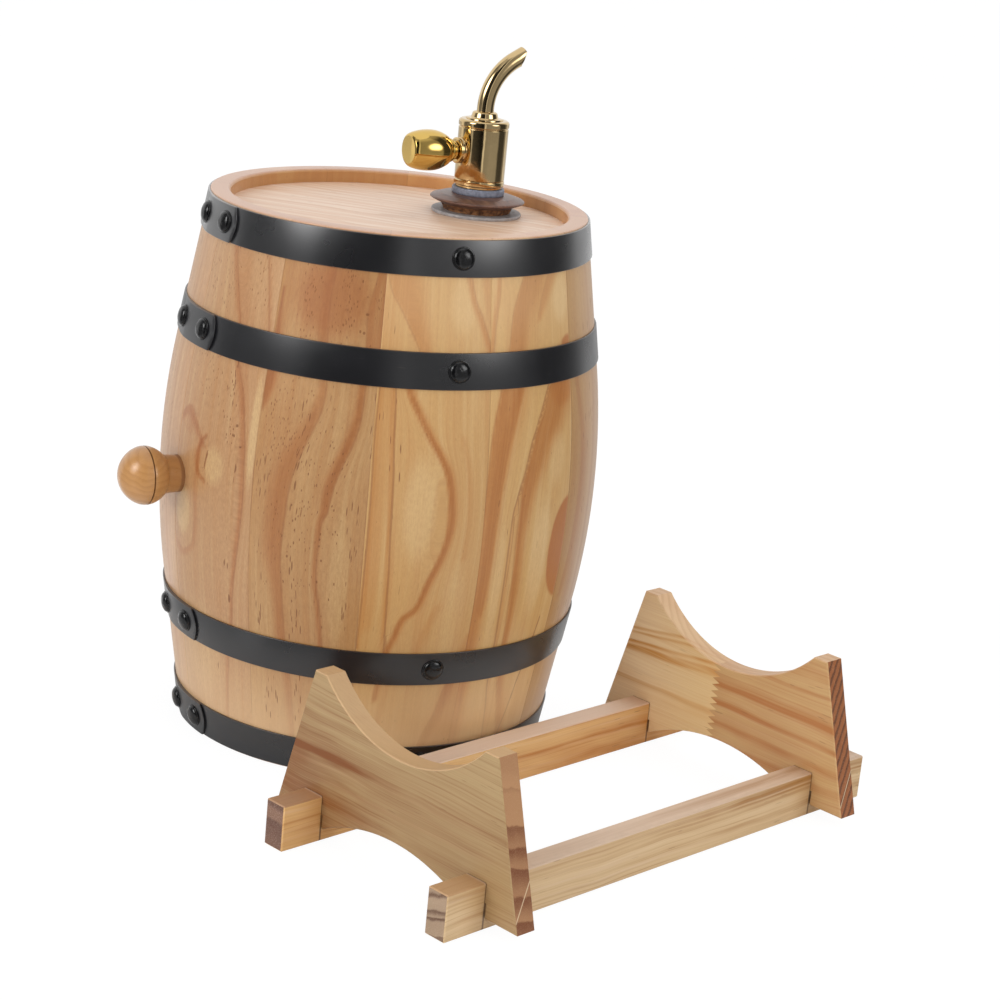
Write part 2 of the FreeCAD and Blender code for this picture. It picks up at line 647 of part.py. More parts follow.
def valve_bonnet():
    """Flanged bush screwed into the cross bore: it holds the plug in and steadies the stem."""
    bore = STEM_RADIUS + PLUG_PLAY
    profile = Outline("xz", bore, BONNET_INNER)
    profile.line(PLUG_RADIUS, BONNET_INNER)
    profile.line(PLUG_RADIUS, BONNET_STEP)
    profile.line(BONNET_FLANGE_RADIUS, BONNET_STEP)
    profile.line(BONNET_FLANGE_RADIUS, BONNET_FACE - BONNET_CHAMFER)
    profile.line(BONNET_FLANGE_RADIUS - BONNET_CHAMFER, BONNET_FACE)
    profile.line(bore, BONNET_FACE)
    return laid_across(profile.lathe())


def tap_knob():
    """Barrel-shaped knob with a flat face, on a short neck with one raised ring.

    The barrel is one arc about its widest section, running tangent into a cone at either end.
    """
    neck_end = KNOB_BACK + KNOB_NECK_LENGTH
    face = KNOB_BARREL + KNOB_LENGTH
    socket = STEM_RADIUS + PLUG_PLAY
    half = KNOB_LENGTH / 2
    lean = math.atan((KNOB_RADIUS - KNOB_ROOT_RADIUS) / (half * (1 - KNOB_ARC_SHARE / 2)))
    arc_radius = half * KNOB_ARC_SHARE / math.sin(lean)
    centre = (KNOB_RADIUS - arc_radius, KNOB_BARREL + half)
    face_edge = KNOB_FACE_RADIUS + KNOB_FACE_CHAMFER
    profile = Outline("xz", socket, KNOB_BACK)
    profile.line(KNOB_NECK_RADIUS, KNOB_BACK)
    profile.line(KNOB_NECK_RADIUS, neck_end)
    profile.line(KNOB_RING_RADIUS - KNOB_RING_CHAMFER, neck_end)
    profile.line(KNOB_RING_RADIUS, neck_end + KNOB_RING_CHAMFER)
    profile.line(KNOB_RING_RADIUS, KNOB_BARREL)
    profile.line(KNOB_ROOT_RADIUS, KNOB_BARREL)
    profile.sweep(centre, arc_radius, -math.degrees(lean), math.degrees(lean))
    profile.line(face_edge, face - KNOB_FACE_CHAMFER)
    profile.line(KNOB_FACE_RADIUS, face)
    profile.line(0, face)
    profile.line(0, STEM_END + PLUG_PLAY)
    profile.line(socket, STEM_END + PLUG_PLAY)
    return laid_across(profile.lathe())


def on_front_head(shape):
    return moved(shape, -TAP_OFFSET, 0, CASK_LENGTH - CHIME_DEPTH)


# --- Cradle, drawn about its own middle with z = 0 on the table ---
NOTCH_STEP = RAIL_HEIGHT - LAP_NOTCH_DEPTH
PLATE_LEFTS = {"near": -PLATE_SPREAD / 2, "far": PLATE_SPREAD / 2 - PLATE_THICKNESS}
RAIL_SIDES = {"front": -1, "rear": 1}


def cradle_plate(left):
    """Trapezium with a round saddle between two horns above and a flat arch below."""
    foot = PLATE_FOOT_WIDTH / 2
    shoulder = PLATE_TOP_WIDTH / 2
    horn = shoulder - HORN_FLAT
    saddle_centre = PLATE_TOP_HEIGHT + math.sqrt(SADDLE_RADIUS ** 2 - horn ** 2)
    arch_half = (RAIL_SPACING - RAIL_WIDTH) / 2
    arch_top = PLATE_FOOT_LIFT + ARCH_RISE
    outline = Outline("yz", -foot, PLATE_FOOT_LIFT)
    outline.line(-arch_half, PLATE_FOOT_LIFT)
    outline.arc((0, arch_top), (arch_half, PLATE_FOOT_LIFT))
    outline.line(foot, PLATE_FOOT_LIFT)
    outline.line(shoulder, PLATE_TOP_HEIGHT)
    outline.line(horn, PLATE_TOP_HEIGHT)
    outline.arc((0, saddle_centre - SADDLE_RADIUS), (-horn, PLATE_TOP_HEIGHT))
    outline.line(-shoulder, PLATE_TOP_HEIGHT)
    plate = outline.extrude_x(left, PLATE_THICKNESS)
    eased = [edge for edge in plate.Edges if edge.BoundBox.XLength < EDGE_EASE]
    plate = plate.makeChamfer(EDGE_EASE, eased)
    notch_width = RAIL_WIDTH + 2 * PLATE_NOTCH_PLAY
    notches = [Part.makeBox(PLATE_THICKNESS + 2 * MARGIN, notch_width, NOTCH_STEP + MARGIN,
                            v(left - MARGIN, side * RAIL_SPACING / 2 - notch_width / 2, -MARGIN))
               for side in RAIL_SIDES.values()]
    return plate.cut(notches)


def cradle_rail(side):
    """Square rail along X, notched from above where each plate drops over it."""
    near_end = -PLATE_SPREAD / 2 - RAIL_REACH_NEAR
    length = PLATE_SPREAD + RAIL_REACH_NEAR + RAIL_REACH_FAR
    rail = Part.makeBox(length, RAIL_WIDTH, RAIL_HEIGHT, v(near_end, -RAIL_WIDTH / 2, 0))
    rail = rail.makeChamfer(EDGE_EASE, rail.Edges)
    rail = moved(rail, 0, side * RAIL_SPACING / 2, 0)
    notches = [Part.makeBox(PLATE_THICKNESS + 2 * LAP_NOTCH_PLAY, RAIL_WIDTH + 2 * MARGIN,
                            LAP_NOTCH_DEPTH + MARGIN,
                            v(left - LAP_NOTCH_PLAY, side * RAIL_SPACING / 2 - RAIL_WIDTH / 2 - MARGIN,
                              NOTCH_STEP))
               for left in PLATE_LEFTS.values()]
    return rail.cut(notches)


def beside_cask(shape):
    """Set the cradle down in front of the cask, clear of the staves at rail height."""
    half_depth = (RAIL_SPACING + RAIL_WIDTH) / 2
    return moved(shape, CRADLE_SHIFT_X, -cask_radius(RAIL_HEIGHT) - CRADLE_GAP - half_depth, 0)


def build():
    pieces = {}
    for index in range(STAVE_COUNT):
        pieces["stave_%02d" % (index + 1)] = stave(index, bung_hole())
    pieces["front_head"] = front_head()
    pieces["rear_head"] = rear_head()
    for name, low in HOOP_LOWS.items():
        pieces[name + "_hoop"] = hoop(low)
        pieces[name + "_rivets"] = rivets(low)
    pieces["bung"] = bung()
    tap = {
        "bush_gasket": bush_gasket, "tap_bush": tap_bush, "tap_gasket": tap_gasket,
        "tap_body": tap_body, "spout": spout,
        "tap_back_washer": back_washer, "tap_back_nut": back_nut,
        "valve_plug": valve_plug, "valve_seals": valve_seals,
        "valve_bonnet": valve_bonnet, "tap_knob": tap_knob,
    }
    for name, make in tap.items():
        pieces[name] = on_front_head(make())
    pieces = {name: turned(shape, Z_AXIS, BUNG_AZIMUTH) for name, shape in pieces.items()}
    for name, left in PLATE_LEFTS.items():
        pieces[name + "_cradle_plate"] = beside_cask(cradle_plate(left))
    for name, side in RAIL_SIDES.items():
        pieces[name + "_rail"] = beside_cask(cradle_rail(side))
    return pieces


os.makedirs("parts", exist_ok=True)
for node, shape in build().items():
    shape.exportStep("parts/" + node + ".step")
    print("%-20s solids %2d  valid %s  volume %9.1f mm3" %
          (node, len(shape.Solids), shape.isValid(), shape.Volume))
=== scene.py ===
# %% [markdown]
# # A small pine cask with a gilt tap, and the cradle it lies in
# The solid parts come ready made, in metres, as a fixed frame: staves, hoops, tap, bung and
# cradle.  This lesson dresses them.  Wood gets a drawn figure that follows each board, steel gets
# its thin black paint, and the tap gets a mirror plating that needs something dark to reflect.

# %% Load the frame
import math

import bmesh
import bpy
import numpy as np
from mathutils import Matrix, Vector


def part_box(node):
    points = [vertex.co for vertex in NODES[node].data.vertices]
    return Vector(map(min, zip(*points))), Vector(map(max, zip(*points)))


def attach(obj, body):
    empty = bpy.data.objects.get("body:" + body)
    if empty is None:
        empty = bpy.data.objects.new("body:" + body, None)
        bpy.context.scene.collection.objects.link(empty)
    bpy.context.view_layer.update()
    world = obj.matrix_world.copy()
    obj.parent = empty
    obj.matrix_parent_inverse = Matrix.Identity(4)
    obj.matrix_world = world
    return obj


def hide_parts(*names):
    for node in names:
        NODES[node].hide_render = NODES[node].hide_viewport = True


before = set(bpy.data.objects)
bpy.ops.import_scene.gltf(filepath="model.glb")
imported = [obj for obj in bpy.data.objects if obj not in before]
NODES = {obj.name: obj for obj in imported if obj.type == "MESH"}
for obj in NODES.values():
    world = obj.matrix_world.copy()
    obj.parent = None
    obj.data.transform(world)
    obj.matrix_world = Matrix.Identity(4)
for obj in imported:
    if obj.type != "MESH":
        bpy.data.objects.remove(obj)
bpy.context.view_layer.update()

# %% [markdown]
# ## The camera
# A product shot is taken with a long lens from a little above.  The camera is described by where
# it stands and by three angles, and its axes are worked out from them, so that the roll stays a
# number that can be read and changed.

# %% Set up the camera
FOCAL_PIXELS = 2476.3
SENSOR_MM = 36.0
IMAGE_PIXELS = 1000
CAMERA_PLACE = (-0.80155, -0.85749, 0.4612)
YAW = math.radians(43.94)
PITCH = math.radians(16.4)
ROLL = math.radians(5.6)


def camera_axes():
    """Right, up and backward unit vectors of a camera that looks along yaw and down by pitch."""
    forward = np.array([math.cos(PITCH) * math.cos(YAW), math.cos(PITCH) * math.sin(YAW),
                        -math.sin(PITCH)])
    level = np.array([math.sin(YAW), -math.cos(YAW), 0.0])
    upright = np.cross(level, forward)
    right = math.cos(ROLL) * level + math.sin(ROLL) * upright
    up = -math.sin(ROLL) * level + math.cos(ROLL) * upright
    return right, up, -forward


def add_camera():
    data = bpy.data.cameras.new("camera")
    data.sensor_width = SENSOR_MM
    data.lens = FOCAL_PIXELS / IMAGE_PIXELS * SENSOR_MM
    data.clip_start = 0.05
    camera = bpy.data.objects.new("camera", data)
    matrix = np.eye(4)
    matrix[:3, :3] = np.stack(camera_axes(), axis=1)
    matrix[:3, 3] = CAMERA_PLACE
    camera.matrix_world = Matrix(matrix.tolist())
    bpy.context.scene.collection.objects.link(camera)
    bpy.context.scene.camera = camera
    return camera


camera = add_camera()
bpy.context.scene.view_settings.view_transform = "Standard"
print("lens %.1f mm" % camera.data.lens)

# %% [markdown]
# ## Shader sums as plain Python
# A node tree is easier to read as a formula.  `Value` wraps a socket, so that `1 - mask * 0.5`
# adds the Math nodes itself, and `Finish` makes every other node with one method.

# %% Wrap sockets and materials


class Value:
    """A number that varies over the surface: the output socket of a node."""

    def __init__(self, finish, socket):
        self.finish = finish
        self.socket = socket

    def math(self, operation, *others):
        inputs = dict(enumerate((self,) + others))
        return self.finish.node("ShaderNodeMath", {"operation": operation}, inputs)[0]

    def __add__(self, other):
        return self.math("ADD", other)

    __radd__ = __add__

    def __sub__(self, other):
        return self.math("SUBTRACT", other)

    def __rsub__(self, other):
        return self.finish.node("ShaderNodeMath", {"operation": "SUBTRACT"}, {0: other, 1: self})[0]

    def __mul__(self, other):
        return self.math("MULTIPLY", other)

    __rmul__ = __mul__

    def __truediv__(self, other):
        return self.math("DIVIDE", other)

    def __pow__(self, other):
        return self.math("POWER", other)

    def size(self):
        return self.math("ABSOLUTE")

    def part(self):
        return self.math("FRACT")

    def whole(self):
        return self.math("FLOOR")

    def clamp(self):
        return self.math("MAXIMUM", 0.0).math("MINIMUM", 1.0)

    def ramp(self, low, high):
        """0 below low, 1 above high, smooth between."""
        settings = {"interpolation_type": "SMOOTHSTEP"}
        return self.finish.node("ShaderNodeMapRange", settings,
                                {"Value": self, "From Min": low, "From Max": high})[0]


class Finish:
    """One procedural material, with a Principled shader at its end."""

    def __init__(self, name):
        self.material = bpy.data.materials.new(name)
        self.material.use_nodes = True
        self.tree = self.material.node_tree
        self.shader = self.tree.nodes["Principled BSDF"]

    def node(self, kind, settings=None, inputs=None):
        """Adds a node, sets it up, feeds it, and returns its outputs as a list of Values."""
        made = self.tree.nodes.new(kind)
        for key, value in (settings or {}).items():
            setattr(made, key, value)
        self.feed(made, inputs or {})
        return [Value(self, socket) for socket in made.outputs if socket.enabled]

    def feed(self, made, inputs):
        for key, value in inputs.items():
            if isinstance(value, Value):
                self.tree.links.new(value.socket, made.inputs[key])
            else:
                made.inputs[key].default_value = value

    def set(self, **inputs):
        """Feeds the Principled shader; Base_Color stands for Base Color."""
        self.feed(self.shader, {key.replace("_", " "): value for key, value in inputs.items()})

    def vector(self, name):
        """The vector that the mesh keeps for each point under this name."""
        return self.node("ShaderNodeAttribute", {"attribute_name": name})[1]

    def number(self, name):
        """The number that the mesh keeps for each point under this name."""
        return self.node("ShaderNodeAttribute", {"attribute_name": name})[2]

    def place(self):
        return self.node("ShaderNodeTexCoord")[3]

    def millimetres(self):
        return self.stretch(self.place(), (1000.0, 1000.0, 1000.0))

    def split(self, vector):
        return self.node("ShaderNodeSeparateXYZ", None, {0: vector})

    def join(self, x, y, z):
        return self.node("ShaderNodeCombineXYZ", None, {0: x, 1: y, 2: z})[0]

    def stretch(self, vector, scale):
        return self.node("ShaderNodeMapping", None, {"Vector": vector, "Scale": scale})[0]

    def noise(self, vector, scale=1.0, detail=3.0, roughness=0.55, distortion=0.0):
        return self.node("ShaderNodeTexNoise", None,
                         {"Vector": vector, "Scale": scale, "Detail": detail,
                          "Roughness": roughness, "Distortion": distortion})[0]

    def grain(self, vector, scale, *more):
        """Noise that is longer one way than another: a scale per axis."""
        return self.noise(self.stretch(vector, scale), 1.0, *more)

    def cells(self, vector):
        """Voronoi cells: distance to the nearest seed, and that cell's own random colour."""
        return self.node("ShaderNodeTexVoronoi", None, {"Vector": vector, "Scale": 1.0})[:2]

    def profile(self, value, points):
        """A curve of the value through (place, level) points, eased from each to the next."""
        made = self.tree.nodes.new("ShaderNodeValToRGB")
        ramp, low, high = made.color_ramp, points[0][0], points[-1][0]
        ramp.interpolation = "EASE"
        for place, level in points[1:-1]:
            ramp.elements.new((place - low) / (high - low))
        for stop, (place, level) in zip(ramp.elements, points):
            stop.color = (level, level, level, 1.0)
        self.feed(made, {0: (value - low) / (high - low)})
        return Value(self, made.outputs[0])

    def mix(self, factor, first, second, blend="MIX"):
        """Mixes two colours, each a Value or an sRGB code such as C8A070."""
        made = self.tree.nodes.new("ShaderNodeMix")
        made.data_type = "RGBA"
        made.blend_type = blend
        full = [linear(c) if isinstance(c, str) else c for c in (first, second)]
        self.feed(made, {0: factor, 6: full[0], 7: full[1]})
        return Value(self, made.outputs[2])

    def bump(self, height, depth, strength):
        inputs = {"Height": height, "Distance": depth, "Strength": strength}
        return self.node("ShaderNodeBump", None, inputs)[0]


def linear(code):
    """Linear red, green, blue and an alpha of 1 from an sRGB code."""
    values = [int(code[k:k + 2], 16) / 255 for k in (0, 2, 4)]
    return [c / 12.92 if c <= 0.04045 else ((c + 0.055) / 1.055) ** 2.4 for c in values] + [1.0]


def paint(thing, finish):
    """Puts one material on an object, in its only slot."""
    thing.data.materials.clear()
    thing.data.materials.append(finish.material)


print("shader helpers ready")

# %% [markdown]
# ## Surfaces from arrays
# Every new piece here is a surface of two parameters: a grid of points, worked out in one go with
# numpy.  `skin` turns a grid into a mesh.  It can close the grid round either way, and it merges
# the points of a pole, where a whole row of the grid meets in one place.

# %% Turn grids into meshes
MERGE = 1e-7


def grid_faces(rows, columns, wrap_rows, wrap_columns, first=0):
    """Four-sided faces of a grid whose points are numbered row by row from first."""
    row = np.arange(rows if wrap_rows else rows - 1)[:, None]
    column = np.arange(columns if wrap_columns else columns - 1)[None, :]
    next_row = (row + 1) % rows
    next_column = (column + 1) % columns
    corners = [row * columns + column, row * columns + next_column,
               next_row * columns + next_column, next_row * columns + column]
    return (np.stack(corners, axis=-1).reshape(-1, 4) + first).tolist()


def mesh_points(mesh):
    points = np.empty(len(mesh.vertices) * 3, dtype=np.float32)
    mesh.vertices.foreach_get("co", points)
    return points.reshape(-1, 3).astype(float)


def keep_field(mesh, key, array):
    """Keeps one number or one vector per point as an attribute, where a finish can read it."""
    vector = array.ndim == 2
    attribute = mesh.attributes.new(key, "FLOAT_VECTOR" if vector else "FLOAT", "POINT")
    flat = np.ascontiguousarray(array, dtype=np.float32).ravel()
    attribute.data.foreach_set("vector" if vector else "value", flat)


def build_object(name, points, faces, smooth_degrees=40.0):
    """A mesh object from points and faces, closed, turned outwards and smooth up to an angle."""
    mesh = bpy.data.meshes.new(name)
    mesh.from_pydata(points.reshape(-1, 3).tolist(), [], faces)
    close_and_turn_out(mesh)
    mesh.shade_smooth()
    mesh.set_sharp_from_angle(angle=math.radians(smooth_degrees))
    thing = bpy.data.objects.new(name, mesh)
    bpy.context.scene.collection.objects.link(thing)
    return thing


def close_and_turn_out(mesh):
    """Merges doubled points and makes the faces of each closed shell point outwards."""
    work = bmesh.new()
    work.from_mesh(mesh)
    bmesh.ops.remove_doubles(work, verts=work.verts, dist=MERGE)
    bmesh.ops.recalc_face_normals(work, faces=work.faces)
    work.to_mesh(mesh)
    work.free()


def skin(name, points, wrap_rows=False, wrap_columns=False, **more):
    """One grid of points, rows by columns, as an object."""
    rows, columns = points.shape[:2]
    return build_object(name, points, grid_faces(rows, columns, wrap_rows, wrap_columns), **more)


def fillet(corners, radii, steps=6):
    """Outline of a path of corners with each one rounded to its radius: an arc that touches both
    straight runs, or the bare corner where the radius is 0."""
    corners = np.asarray(corners, dtype=float)
    outline = []
    for k, radius in enumerate(radii):
        here = corners[k]
        if radius == 0 or k in (0, len(corners) - 1):
            outline.append(here[None])
            continue
        back = corners[k - 1] - here
        ahead = corners[k + 1] - here
        back_length, ahead_length = np.linalg.norm(back), np.linalg.norm(ahead)
        back, ahead = back / back_length, ahead / ahead_length
        half_turn = math.acos(float(np.clip(-back @ ahead, -1, 1))) / 2
        reach = min(radius * math.tan(half_turn), 0.49 * back_length, 0.49 * ahead_length)
        true_radius = reach / math.tan(half_turn)
        bisector = (back + ahead) / np.linalg.norm(back + ahead)
        centre = here + bisector * (true_radius / math.cos(half_turn))
        start = here + back * reach - centre
        end = here + ahead * reach - centre
        sweep = 2 * half_turn
        t = np.linspace(0, 1, steps)[:, None]
        arc = (start * np.sin((1 - t) * sweep) + end * np.sin(t * sweep)) / math.sin(sweep)
        outline.append(centre + arc)
    return np.concatenate(outline)


def lathe(outline, around=96):
    """Turns an outline of (radius, height) about the vertical axis:
    x = radius cos(angle), y = radius sin(angle), z = height."""
    angle = np.linspace(0, 2 * math.pi, around, endpoint=False)[None, :]
    radius, height = outline[:, :1], outline[:, 1:]
    return np.stack([radius * np.cos(angle), radius * np.sin(angle),
                     height + 0 * angle], axis=-1)


def aim(points, axis, foot):
    """Turns points drawn about +Z so that +Z becomes axis, and moves the origin to foot."""
    axis = np.asarray(axis, dtype=float) / np.linalg.norm(axis)
    helper = np.array([0.0, 0.0, 1.0]) if abs(axis[2]) < 0.9 else np.array([1.0, 0.0, 0.0])
    side = np.cross(helper, axis)
    side /= np.linalg.norm(side)
    other = np.cross(axis, side)
    return points @ np.stack([side, other, axis]) + np.asarray(foot, dtype=float)


def end_faces(rows, columns, first=0):
    """Two many-sided faces that close the first and the last row of a grid."""
    last = first + (rows - 1) * columns
    return [list(range(first, first + columns)), list(range(last, last + columns))]


def wear(thing, node, body):
    """Lets a finished piece stand for its CAD node."""
    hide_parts(node)
    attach(thing, body)
    return thing


print("surface helpers ready")

# %% [markdown]
# ## The cask's curve
# A stave bows out in the middle and runs almost straight near its ends.  The curve is an arc that
# turns tangent into two straight tapers, and its size comes from the frame: the stave that faces
# the cradle gives the length and the belly, and the front head's hoop gives the rim.

# %% Work out the bilge curve
MM = 0.001
STAVE_COUNT = 12
STAVE_ANGLE = 2 * math.pi / STAVE_COUNT
STAVE_THICKNESS = 9.5 * MM
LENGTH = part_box("stave_04")[1].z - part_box("stave_04")[0].z
BELLY = -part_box("stave_04")[0].y
RIM = 90.0 * MM
ARC_HALF = 0.45 * LENGTH / 2
HALF = LENGTH / 2


def end_taper():
    """Angle of the straight ends, so that arc and straights together drop from belly to rim."""
    angle = 0.0
    for _ in range(30):
        angle = math.atan((BELLY - RIM - ARC_HALF * math.tan(angle / 2)) / (HALF - ARC_HALF))
    return angle


TAPER = end_taper()
BOW_RADIUS = ARC_HALF / math.sin(TAPER)


def cask_radius(height):
    """Outer radius at an array of heights: belly less the arc's drop less the taper's."""
    away = np.abs(np.asarray(height, dtype=float) - HALF)
    on_arc = np.minimum(away, ARC_HALF)
    drop = BOW_RADIUS - np.sqrt(BOW_RADIUS ** 2 - on_arc ** 2)
    return BELLY - drop - (away - on_arc) * math.tan(TAPER)


print("taper %.2f degrees, belly %.1f mm, rim %.1f mm" % (math.degrees(TAPER), BELLY / MM, RIM / MM))

# %% [markdown]
# ## Staves
# Each stave is one curved board, a twelfth of the barrel round.  Its long section is an outline of
# (radius, height): outside curve, chime, bevel, the croze that holds a head, and the inside curve.
# That outline is swung through thirty degrees.  Near the two long edges the outer skin drops by a
# tenth of a millimetre, as a sanded edge does, and this gives the faint joint lines.

# %% Make the staves
EASE = 0.10 * MM
EASE_REACH = 0.8 * MM
SKIN_STEP = 1.4 * MM
BUNG_AZIMUTH = math.radians(165.0)
CHIME_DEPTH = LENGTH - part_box("front_head")[1].z
CHIME_BEVEL = 1.2 * MM
CROZE_WIDTH = 4 * MM
CROZE_DEPTH = 3.5 * MM
MARGIN = 2 * MM                 # straight stretch before and after the corners of a stave's end
END_RADII = np.array([0, 0.8, 0.4, 0.3, 0, 0, 0, 0, 0]) * MM


def stave_end(inner_radius):
    """Corner path over the upper end of a stave, from the outside to below the croze."""
    rim, before = cask_radius([LENGTH, LENGTH - MARGIN])
    high = LENGTH - CHIME_DEPTH
    low = high - CROZE_WIDTH
    path = [(before, LENGTH - MARGIN), (rim, LENGTH),
            (inner_radius + CHIME_BEVEL, LENGTH), (inner_radius, LENGTH - CHIME_BEVEL),
            (inner_radius, high), (inner_radius + CROZE_DEPTH, high),
            (inner_radius + CROZE_DEPTH, low), (inner_radius, low), (inner_radius, low - MARGIN)]
    return fillet(path, END_RADII, steps=5)


def stave_outline():
    """Closed long section, starting low on the outside; also how many of its points are outside."""
    margin = 1.1 * MARGIN
    heights = np.linspace(margin, LENGTH - margin, int(LENGTH / SKIN_STEP))
    outside = np.stack([cask_radius(heights), heights], axis=1)
    top = stave_end(float(cask_radius(LENGTH)) - STAVE_THICKNESS)
    within = np.linspace(LENGTH - 14 * MM, 14 * MM, 30)
    inside = np.stack([cask_radius(within) - STAVE_THICKNESS, within], axis=1)
    foot = top[::-1] * (1, -1) + (0, LENGTH)
    return np.concatenate([outside, top, inside, foot]), len(outside)


def stave_points(index):
    """The section swung about the cask's axis, the skin dropping towards both long edges:
    drop = EASE (1 - distance to edge / EASE_REACH) squared, within that reach."""
    outline, outside = stave_outline()
    width = STAVE_ANGLE * BELLY
    edge = np.array([0.0, 0.12, 0.3, 0.55, 0.8]) * MM
    middle = np.linspace(EASE_REACH, width - EASE_REACH, int(width / SKIN_STEP))[1:-1]
    across = np.concatenate([edge, middle, width - edge[::-1]])
    to_edge = np.minimum(across, width - across)
    drop = EASE * np.clip(1 - to_edge / EASE_REACH, 0, 1) ** 2
    is_skin = np.zeros(len(outline))
    is_skin[:outside] = 1
    is_skin[outside:outside + 4] = np.linspace(1, 0.3, 4)
    is_skin[-4:] = np.linspace(0.3, 1, 4)
    radius = outline[None, :, 0] - drop[:, None] * is_skin[None, :]
    angle = (BUNG_AZIMUTH + index * STAVE_ANGLE + across / BELLY)[:, None]
    height = outline[None, :, 1] + 0 * angle
    return np.stack([radius * np.cos(angle), radius * np.sin(angle), height], axis=-1)


def make_stave(index):
    name = "stave_%02d" % (index + 1)
    points = stave_points(index)
    rows, columns = points.shape[:2]
    faces = grid_faces(rows, columns, False, True) + end_faces(rows, columns)
    return wear(build_object(name + "_board", points, faces), name, "cask")


staves = [make_stave(index) for index in range(STAVE_COUNT)]
print(len(staves), "staves,", len(staves[0].data.vertices), "points each")

# %% [markdown]
# ## The bung hole
# The hole lies across a joint, half in one stave and half in the other, and tapers inwards by
# three degrees.  A cone cut out of both boards with a Boolean is the simplest exact way.  The
# result is baked into the mesh at once, so that no modifier is left on the piece.

# %% Drill the bung hole
HOLE_RADIUS = 9.0 * MM
DRILL_REACH = 14 * MM
HOLE_TAPER = math.tan(math.radians(3.0))


def bung_frame(points):
    """Points drawn with the bung's axis as +Z, its zero at the belly, put in their place."""
    outward = (math.cos(BUNG_AZIMUTH), math.sin(BUNG_AZIMUTH), 0.0)
    return aim(points, outward, (BELLY * outward[0], BELLY * outward[1], HALF))


def apply_modifiers(thing):
    """Replaces an object's mesh by what its modifiers make of it."""
    graph = bpy.context.evaluated_depsgraph_get()
    finished = bpy.data.meshes.new_from_object(thing.evaluated_get(graph))
    thing.modifiers.clear()
    thing.data = finished


def drill(boards):
    wide, narrow = (HOLE_RADIUS + way * DRILL_REACH * HOLE_TAPER for way in (1, -1))
    outline = np.array([(0, -DRILL_REACH), (narrow, -DRILL_REACH), (wide, DRILL_REACH), (0, DRILL_REACH)])
    drill_bit = skin("drill_bit", bung_frame(lathe(outline, 72)), wrap_columns=True)
    for board in boards:
        cut = board.modifiers.new("hole", "BOOLEAN")
        cut.operation, cut.solver, cut.object = "DIFFERENCE", "EXACT", drill_bit
        apply_modifiers(board)
        board.data.set_sharp_from_angle(angle=math.radians(40))
    bpy.data.objects.remove(drill_bit)


drill([staves[0], staves[-1]])
print("hole drilled, stave_01 now has", len(staves[0].data.vertices), "points")

# %% [markdown]
# ## The figure of the boards
# Flat-sawn pine shows each year as a soft stripe that starts sharp on one side and fades on the
# other.  The stripes wander up the board, bend round knots and close in long arches.  A noise
# texture can't know where a stripe should run, so each one is drawn here as a curve.  The six
# boards that face front lie side by side on one flat sheet, and a point on it is given in pixels,
# counted across from its left edge and down from its upper one.  A stripe is how strong it is and
# how dark the fine line along it is, then points of (across, down, width).  It lies on the left of
# the way its points run, or on the right where its width is negative, and fades from the line.

# %% Draw the stripes of the boards that face front
PIXELS_ACROSS, PIXELS_DOWN = 4.18, 3.571        # pixels of the sheet to a millimetre
SHEET_TOP = 256                                 # height of its upper edge in millimetres
